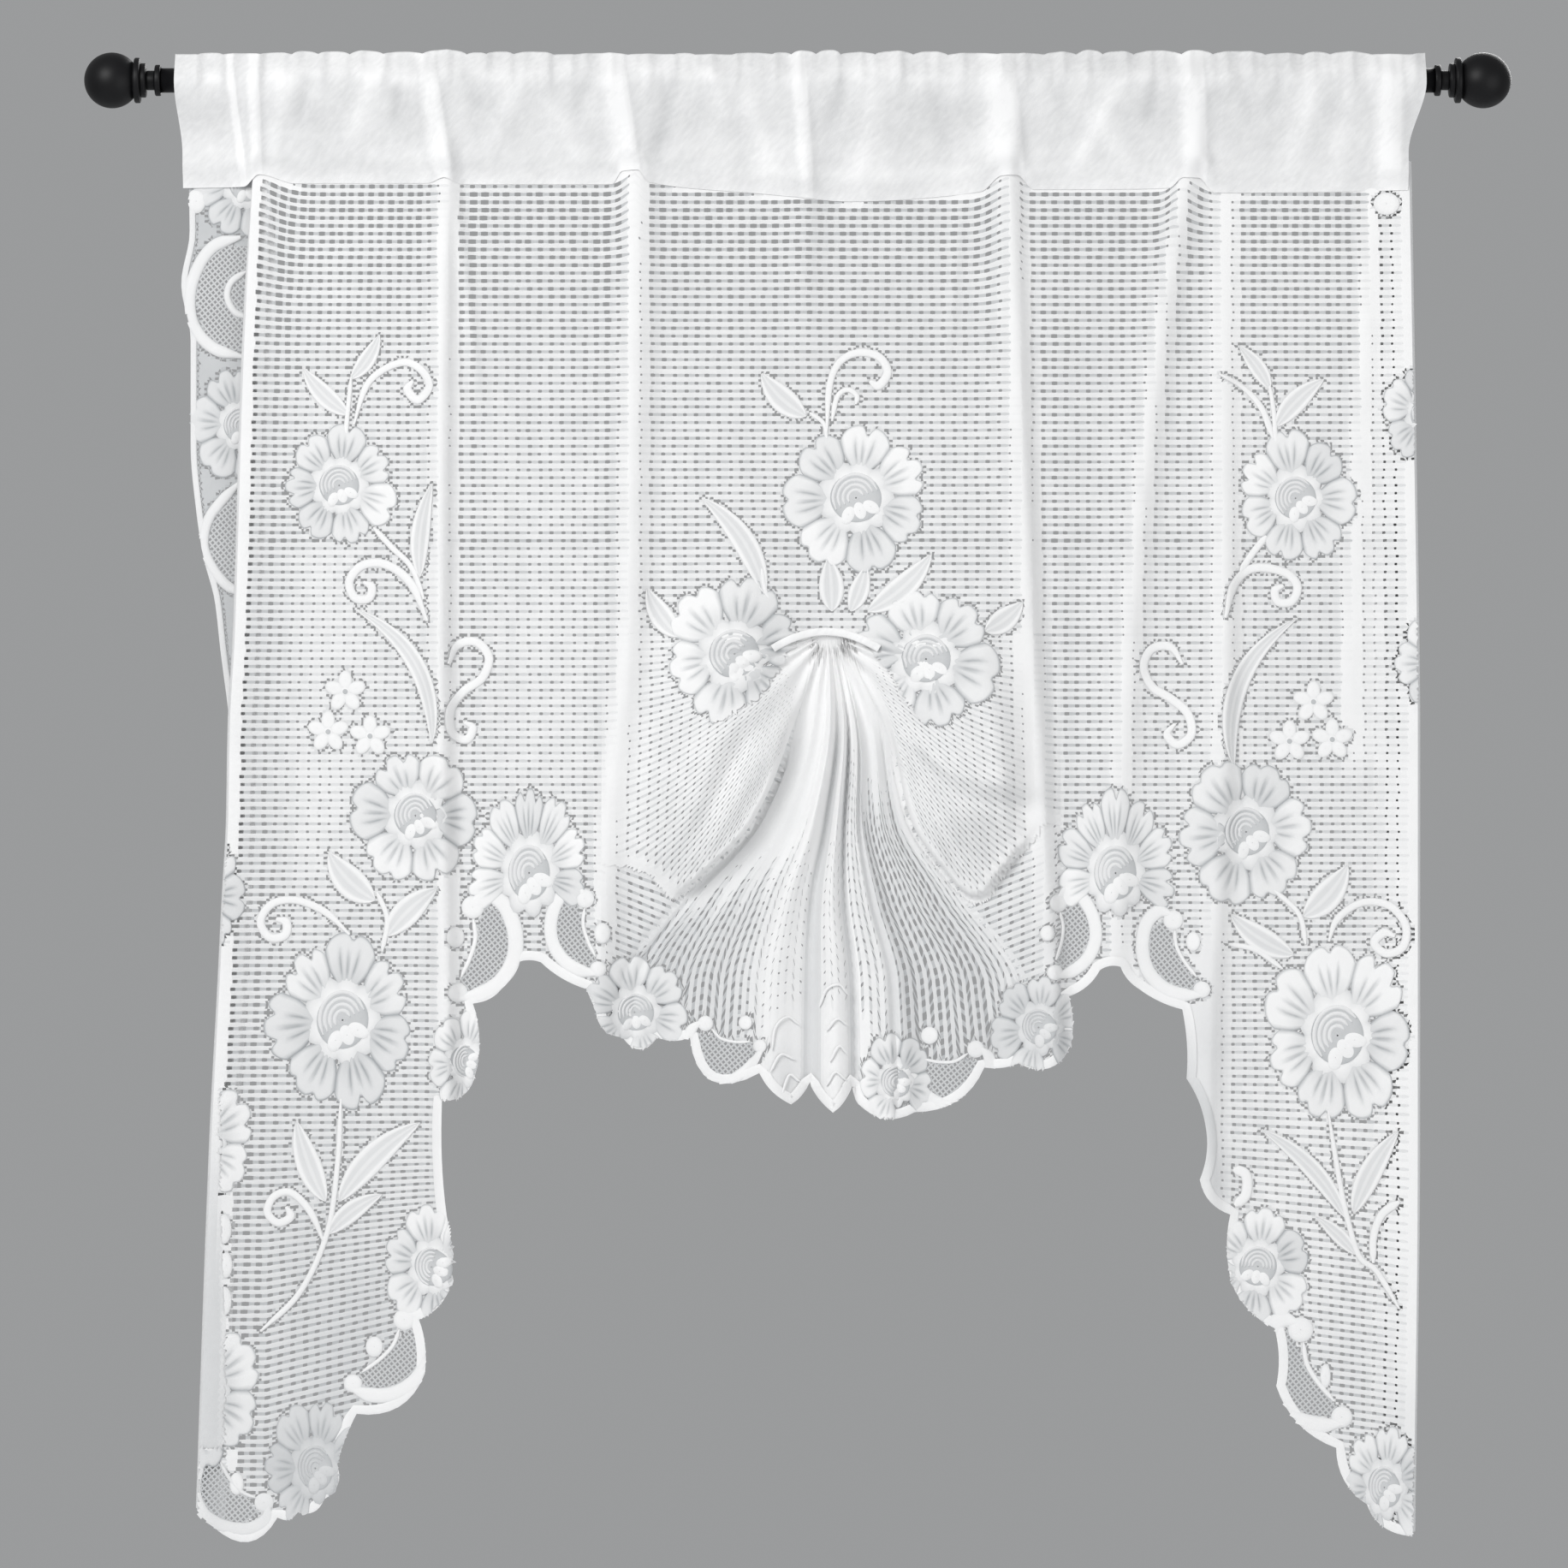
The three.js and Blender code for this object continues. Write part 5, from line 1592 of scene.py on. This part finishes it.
def hem_edging():
    """Cord along the hem, with painted shade where it is turned"""
    path = HEM_CURVE[(HEM_CURVE[:, 0] > EDGING_ENDS[0]) & (HEM_CURVE[:, 0] < EDGING_ENDS[1])]
    turned = (path[:, 0] > TURNED_HEM_FROM) * bump((path[:, 1] - TURNED_HEM_Y) / TURNED_HEM_HALF)
    tone = (1 - TURNED_HEM_PAINTED_SHADE * turned)[:, None]
    half = np.full(len(path), EDGING_HALF)
    path = path - sideways(path) * EDGING_INSET
    return strip_patch(path, half, CORD_ACROSS, cord_lift(EDGING_HEIGHT), tone)


def all_strands(outlines):
    return sum((mesh_strands(outline) for outline in outlines), [])


folded_petals = [cord(*row) for row in FOLDED_PETALS]
motifs = patch_piece("lace_motifs", patches + folded_petals, on_cloth, front_keep)
border_mesh = patch_piece("lace_border_mesh", all_strands(meshes), on_cloth, front_keep)
edging = patch_piece("lace_edging", [hem_edging()], on_cloth, always(True))
strip_motifs = patch_piece("lace_strip_motifs", strip_work + all_strands(strip_meshes), on_strip, strip_keep)


# Heading
HEADING_LEFT = (view_x(205), view_x(213))
HEADING_RIGHT = (view_x(1665), view_x(1645))
HEADING_TOP = 16.7
HEADING_RUN = (view_z(66), view_z(215))
HEADING_THICKNESS = 1.4
HEADING_COLUMNS = 760
HEADING_ROWS = 56
HEADING_ROWS_CROWD = 1.15
HEADING_LOWERED = -48
LOOP_RADIUS = 11.4
LOOP_CENTRE = -1.5
LOOP_SOFT = 22
FRONT_HANGS = -46
STRIP_CLEAR = 2.8
PLEAT_OPENS_OVER = 10
SEAM_BEHIND = 4
SEAM_BAND = (5.4, 4.6)
SEAM_BAND_LIFT = 0.12
SEAM_MEETS_LACE = 16
SEAM_AHEAD = 0.5
SEAM_BACK_AHEAD = 0.2
SEAM_RELIEF = 0.1
Tuck = namedtuple("Tuck", "top seam depth left right wide")
TUCKS = table(
    Tuck,
    (270, 286, 1.6, 3.0, 2.2, 5),
    (298, 302, 3.6, 5.0, 4.0, 7),
    (502, 524, 4.2, 7.5, 5.0, 13),
    (722, 744, 4.0, 9.0, 5.0, 18),
    (934, 944, 2.8, 6.0, 5.0, 9),
    (1176, 1190, 4.8, 17.0, 6.0, 26),
    (1396, 1402, 4.4, 9.0, 7.0, 16),
    (1626, 1624, 3.6, 7.0, 9.0, 14),
)
TUCK_AT_TOP = 0.5
SINGLE_TONE = 0.66
# Painted highlight along the top of the rod pocket, where the light falls
POCKET_PAINTED_HIGHLIGHT = 0.25
POCKET_Z = view_z(80)
POCKET_HALF = 7
SEAM_WHITE = 0.45
SEAM_WHITENS = (view_z(186), view_z(206))
# Painted light on the heading's raised creases and painted shade in its sunk ones
CREASE_LIGHT_AND_SHADE = 0.12
HEADING_CREASES = table(
    Crease,
    (340, 84, 316, 205, 1.5, 6), (366, 78, 352, 140, -1.4, 4), (440, 80, 410, 175, 1.7, 7),
    (470, 92, 462, 150, -1.5, 5), (545, 80, 560, 130, -1.3, 6), (612, 88, 572, 180, 1.6, 7),
    (640, 120, 690, 208, 1.3, 7), (690, 76, 674, 140, -1.5, 5), (790, 80, 768, 190, -1.5, 6),
    (832, 78, 850, 150, 1.4, 6), (868, 100, 905, 215, 1.6, 8), (990, 80, 968, 160, -1.5, 6),
    (1030, 90, 1000, 222, 1.6, 8), (1084, 84, 1112, 190, -1.4, 7), (1230, 84, 1244, 140, -1.4, 6),
    (1310, 96, 1254, 204, 1.8, 7), (1284, 132, 1330, 212, 1.5, 8), (1352, 80, 1340, 150, -1.4, 5),
    (1450, 84, 1462, 150, -1.4, 6), (1546, 80, 1506, 205, 1.7, 8), (1500, 84, 1480, 140, -1.3, 6),
    (1580, 96, 1560, 210, 1.4, 7),
)
Ripple = namedtuple("Ripple", "wave shift height")
PUCKERS = table(Ripple, (21, 0.3, 0.9), (13.5, 2.1, 0.7), (8.2, 1.2, 0.3))
PUCKERS_FADE = (-16, 14)

# Puffs of the gathered pocket
PUFF_SEED = 17
PUFF_COUNT = 44
PUFF_START = view_x(185)
PUFF_WIDTHS = (12, 34)
PUFF_TOPS = (0.4, 4.0)
PUFF_LEVELS = (view_z(100), view_z(74))
# Each puff's share sets both its height and its painted highlight
PUFF_HEIGHTS_AND_HIGHLIGHTS = (0.1, 1.0)
PUFF_DEPTH = 1.5
PUFF_ROUND = 0.6
PUFF_PAINTED_HIGHLIGHT = 0.6
puff_rng = np.random.default_rng(PUFF_SEED)
PUFF_EDGES = PUFF_START + np.append(0, np.cumsum(puff_rng.uniform(*PUFF_WIDTHS, PUFF_COUNT)))
PUFF_TOP = puff_rng.uniform(*PUFF_TOPS, PUFF_COUNT)
PUFF_LEVEL = puff_rng.uniform(*PUFF_LEVELS, PUFF_COUNT)
PUFF_HEIGHT_AND_HIGHLIGHT = puff_rng.uniform(*PUFF_HEIGHTS_AND_HIGHLIGHTS, PUFF_COUNT)


def ripple(ripples, x):
    return sum(r.height * np.sin(x / r.wave * 2 * np.pi + r.shift) for r in ripples)


def puff(x):
    """Which puff of the gathered pocket a place lies on, and how far up its dome it is"""
    k = np.clip(np.searchsorted(PUFF_EDGES, x) - 1, 0, PUFF_COUNT - 1)
    t = np.clip((x - PUFF_EDGES[k]) / (PUFF_EDGES[k + 1] - PUFF_EDGES[k]), 0, 1)
    return k, 4 * t * (1 - t)


def puff_share(x, z):
    """How much a place belongs to the middle of a puff"""
    k, dome = puff(x)
    return PUFF_HEIGHT_AND_HIGHLIGHT[k] * dome * bump((z - PUFF_LEVEL[k]) / POCKET_HALF)


def heading_down(z):
    top, foot = HEADING_RUN
    return np.clip((top - z) / (top - foot), 0, 1)


def off_tuck(tuck, x, z):
    return x - lerp(view_x(tuck.top), view_x(tuck.seam), heading_down(z))


def heading_relief(x, z):
    """How far the heading's cloth stands out of its plain form: tucks, creases and gathering puckers"""
    depth = crease_depth(HEADING_CREASES, x, z)
    firm = lerp(TUCK_AT_TOP, 1, heading_down(z))
    for tuck in TUCKS:
        off = off_tuck(tuck, x, z)
        depth = depth + tuck.depth * firm * flanked(off, tuck.left, tuck.right)
    depth = depth + PUFF_DEPTH * puff_share(x, z)
    return depth + ripple(PUCKERS, x) * smooth(*PUCKERS_FADE, z)


def loop_half(z):
    """Half depth of the cloth round the rod, which softly narrows to the ruffle above and the seam below"""
    flat = HEADING_THICKNESS / 2
    above = smooth(LOOP_CENTRE + LOOP_SOFT, LOOP_CENTRE, z)
    below = smooth(LOOP_CENTRE - LOOP_SOFT, LOOP_CENTRE, z)
    return flat + (LOOP_RADIUS - flat) * np.where(z > LOOP_CENTRE, above, below)


def heading_tone(x, z):
    """Folded layers look whiter than a single one: the tucks and the seam. The top of the pocket and the
    middles of its puffs get a painted highlight, and the creases painted light where they stand out and
    painted shade where they sink in
    """
    folded = POCKET_PAINTED_HIGHLIGHT * bump((z - POCKET_Z) / POCKET_HALF) + PUFF_PAINTED_HIGHLIGHT * puff_share(x, z)
    for tuck in TUCKS:
        off = off_tuck(tuck, x, z)
        strip = smooth(-tuck.wide, -tuck.wide / 3, off) * smooth(tuck.right, tuck.right / 2, off)
        folded = np.maximum(folded, strip)
    white = np.maximum(folded, SEAM_WHITE * smooth(*SEAM_WHITENS, z))
    return lerp(SINGLE_TONE, 1, white) + CREASE_LIGHT_AND_SHADE * crease_depth(HEADING_CREASES, x, z)


def heading_depths(x, z, lowered, meets):
    """How far the heading's front and back lie behind the rod's axis"""
    beside = smooth(0, PLEAT_OPENS_OVER, line_x("leftEdge", z) - x)
    opened = left_turn_open(z) * (STRIP_BEHIND - STRIP_CLEAR) * beside
    ridges = ridge_depth(x, z)
    relief = heading_relief(x, z)
    lace = HOLLOW + opened - ridges
    middle = lowered * (HOLLOW + opened - SEAM_BEHIND) - ridges
    loop = loop_half(z)
    hanging = lerp(LOOP_RADIUS, HEADING_THICKNESS / 2, smooth(LOOP_CENTRE, FRONT_HANGS, z))
    hangs = np.where(z > LOOP_CENTRE, loop, hanging)
    front = lerp(middle - hangs - relief, lace - SEAM_AHEAD - SEAM_RELIEF * relief, meets)
    back = lerp(middle + loop, lace - SEAM_BACK_AHEAD, meets)
    return front, back


def heading_piece():
    """One cloth over the rod: its back runs up from the seam, over the ruffle and down the front again"""
    columns = np.linspace(0, 1, HEADING_COLUMNS)
    rows = np.linspace(0, 1, HEADING_ROWS)
    share, down = np.meshgrid(columns, rows, indexing="ij")
    seam_x = lerp(HEADING_LEFT[1], HEADING_RIGHT[1], share)
    k, dome = puff(seam_x)
    top = HEADING_TOP + PUFF_TOP[k] * dome**PUFF_ROUND
    seam = reading([view_x(x) for x in SEAM_PLACES], [view_z(y) for y in SEAM_LEVELS], seam_x)
    z = lerp(top, seam, down**HEADING_ROWS_CROWD)
    lowered = smooth(LOOP_CENTRE, HEADING_LOWERED, z)
    x = lerp(lerp(*HEADING_LEFT, lowered), lerp(*HEADING_RIGHT, lowered), share)
    front, back = heading_depths(x, z, lowered, smooth(SEAM_MEETS_LACE, 0, z - seam))
    front = front - SEAM_BAND_LIFT * smooth(*SEAM_BAND, z - seam)
    front = np.stack([x, front, z], axis=-1)
    back = np.stack([x, back, z], axis=-1)
    tone = heading_tone(x, z)
    points = np.concatenate([front[:, ::-1], back[:, 1:]], axis=1)
    tones = np.concatenate([tone[:, ::-1], tone[:, 1:]], axis=1)
    return grid_piece("heading_cloth", points, tones, COTTON)


heading = heading_piece()


# Tie band
TIE_LEFT = 903
TIE_RIGHT = 1027
TIE_CROWN = 738
TIE_DROP = 20
TIE_STEPS = 60
TIE_HALF_WIDTH = 2.6
TIE_THICK = 0.8
TIE_AHEAD = 3.4
TIE_SIDES = 14


def tie_piece():
    t = np.linspace(0, 1, TIE_STEPS)
    x = view_x(lerp(TIE_LEFT, TIE_RIGHT, t))
    z = view_z(TIE_CROWN + TIE_DROP * (2 * t - 1) ** 2)
    middle = hung(x, z)
    middle[:, 1] -= TIE_AHEAD
    angle = np.linspace(0, 2 * np.pi, TIE_SIDES, endpoint=False)
    slope = np.gradient(z) / np.gradient(x)
    up = np.stack([-slope, np.zeros_like(slope), np.ones_like(slope)], axis=-1)
    up /= np.linalg.norm(up, axis=-1, keepdims=True)
    ring = up[:, None] * (TIE_HALF_WIDTH * np.sin(angle))[None, :, None]
    ring[..., 1] -= TIE_THICK * np.cos(angle)
    points = middle[:, None] + ring
    return grid_piece("tie_cloth", np.concatenate([points, points[:, :1]], axis=1), 1.0, COTTON)


tie = tie_piece()


# Rod and finials
ROD_RADIUS = 8.0
FINIAL_END = 416.6
ROD_SIDES = 64
BALL_RADIUS = 18.2
BALL_CENTRE = 32
Ring = namedtuple("Ring", "from_end to_end radius")
FINIAL_RINGS = table(Ring, (17.2, 13.4, 14.8), (13.4, 9.6, 11.2), (9.6, 3.8, 6.4), (3.8, 0, 10.2))
RING_ROUND = 0.9
RING_STEPS = 5
BALL_STEPS = 30
AXIS_RADIUS = 0.01
SOCKET_DEPTH = 3.2
SOCKET_MOUTH = 0.2
SOCKET_CLEAR = 0.3
ROD_END = FINIAL_END + SOCKET_DEPTH - SOCKET_CLEAR
ROD_PROFILE = (
    (-ROD_END, AXIS_RADIUS), (-ROD_END, ROD_RADIUS), (ROD_END, ROD_RADIUS), (ROD_END, AXIS_RADIUS),
)


def turned(name, profile):
    """Mesh turned about the rod's axis from (place along it, radius) pairs"""
    angle = np.linspace(0, 2 * np.pi, ROD_SIDES + 1)
    along, radius = np.asarray(profile, float).T
    along = np.repeat(along[:, None], len(angle), axis=1)
    points = np.stack([along, np.outer(radius, np.cos(angle)), np.outer(radius, np.sin(angle))], axis=-1)
    return grid_piece(name, points, 1.0, PAINT)


def ring_profile(ring):
    """Outer face of a ring, with its two edges rounded"""
    quarter = np.radians(np.linspace(90, 0, RING_STEPS))
    base = ring.radius - RING_ROUND
    profile = []
    for start, angles in ((ring.from_end - RING_ROUND, quarter), (ring.to_end + RING_ROUND, -quarter[::-1])):
        for a in angles:
            profile.append((start + RING_ROUND * math.sin(a), base + RING_ROUND * math.cos(a)))
    return profile


def finial_profile():
    neck = math.acos((BALL_CENTRE - FINIAL_RINGS[0].from_end) / BALL_RADIUS)
    profile = []
    for a in np.linspace(0, math.pi - neck, BALL_STEPS):
        radius = max(BALL_RADIUS * math.sin(a), AXIS_RADIUS)
        profile.append((BALL_CENTRE + BALL_RADIUS * math.cos(a), radius))
    for ring in FINIAL_RINGS:
        profile += ring_profile(ring)
    socket = ROD_RADIUS + SOCKET_CLEAR
    return [*profile, (SOCKET_MOUTH, socket), (SOCKET_DEPTH, socket)]


def finial(name, side):
    return turned(name, [(side * (FINIAL_END + place), radius) for place, radius in finial_profile()])


finials = (finial("finial_left_turned", -1), finial("finial_right_turned", 1))
rod = turned("rod_tube", ROD_PROFILE)


# CAD parts hidden: the lace panel, heading, tie band, rod and finials
lace_pieces = (*net_pieces, left_fold, left_strip, right_fold)
for piece in (*lace_pieces, motifs, border_mesh, edging, strip_motifs):
    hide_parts("lace_panel")
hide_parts("heading")
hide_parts("tie_band")
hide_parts("rod")
for piece, node in zip(finials, ("finial_left", "finial_right")):
    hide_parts(node)


# Cloth: the size each part of the curtain was cut to, in metres and square metres
Cut = namedtuple("Cut", "width length area")
CUTS = table(
    Cut,
    (0.235, 0.905, 0.17), (0.385, 0.53, 0.135), (0.225, 0.905, 0.16), (0.16, 0.27, 0.0255),
    (0.16, 0.27, 0.0255), (0.14, 0.11, 0.0145), (0.32, 0.325, 0.06), (0.036, 0.897, 0.0323),
    (0.05, 0.38, 0.0115), (0.034, 0.897, 0.0305),
)


# Stage, light and camera
FLOOR_PLACE = (0, 0.1, -1.21)
FLOOR_SIZE = 3.2
FLOOR_FINISH = {"Base Color": (0.62, 0.63, 0.64, 1), "Roughness": 0.9}
CAMERA_AWAY = 4.5
SENSOR = 36
Light = namedtuple("Light", "name place size power")
LIGHTS = table(
    Light,
    ("key", (-1.5, -2.5, 1.0), 1.8, 66),
    ("fill", (1.7, -2.0, -0.6), 2.2, 18),
    ("back", (1.2, 2.4, 0.9), 1.8, 48),
)
LIGHT_AIM = (0, 0, -0.45)
BACKDROP = {"Color": (0.35, 0.355, 0.36, 1), "Strength": 0.93}


def floor():
    bpy.ops.mesh.primitive_plane_add(size=FLOOR_SIZE, location=FLOOR_PLACE)
    plane = bpy.context.object
    plane.name = "studio_floor"
    material, tree, shader = new_material("pale_floor")
    fill(tree, shader, FLOOR_FINISH)
    plane.data.materials.append(material)


def area_light(row):
    data = bpy.data.lights.new(row.name, "AREA")
    data.shape = "DISK"
    data.size = row.size
    data.energy = row.power
    light = bpy.data.objects.new(row.name, data)
    light.location = row.place
    light.rotation_mode = "QUATERNION"
    light.rotation_quaternion = (Vector(LIGHT_AIM) - Vector(row.place)).to_track_quat("-Z", "Y")
    bpy.context.scene.collection.objects.link(light)


def backdrop():
    world = bpy.data.worlds.new("studio")
    world.use_nodes = True
    fill(world.node_tree, world.node_tree.nodes["Background"], BACKDROP)
    bpy.context.scene.world = world


def front_camera():
    data = bpy.data.cameras.new("camera")
    data.sensor_width = SENSOR
    data.lens = SENSOR * CAMERA_AWAY / metres(VIEW_SIZE * MM_PER_UNIT)
    camera = bpy.data.objects.new("camera", data)
    camera.location = (metres(view_x(VIEW_SIZE / 2)), -CAMERA_AWAY, metres(view_z(VIEW_SIZE / 2)))
    camera.rotation_euler = (math.pi / 2, 0, 0)
    bpy.context.scene.collection.objects.link(camera)
    bpy.context.scene.camera = camera


floor()
for row in LIGHTS:
    area_light(row)
backdrop()
front_camera()
bpy.context.scene.view_settings.view_transform = "Standard"
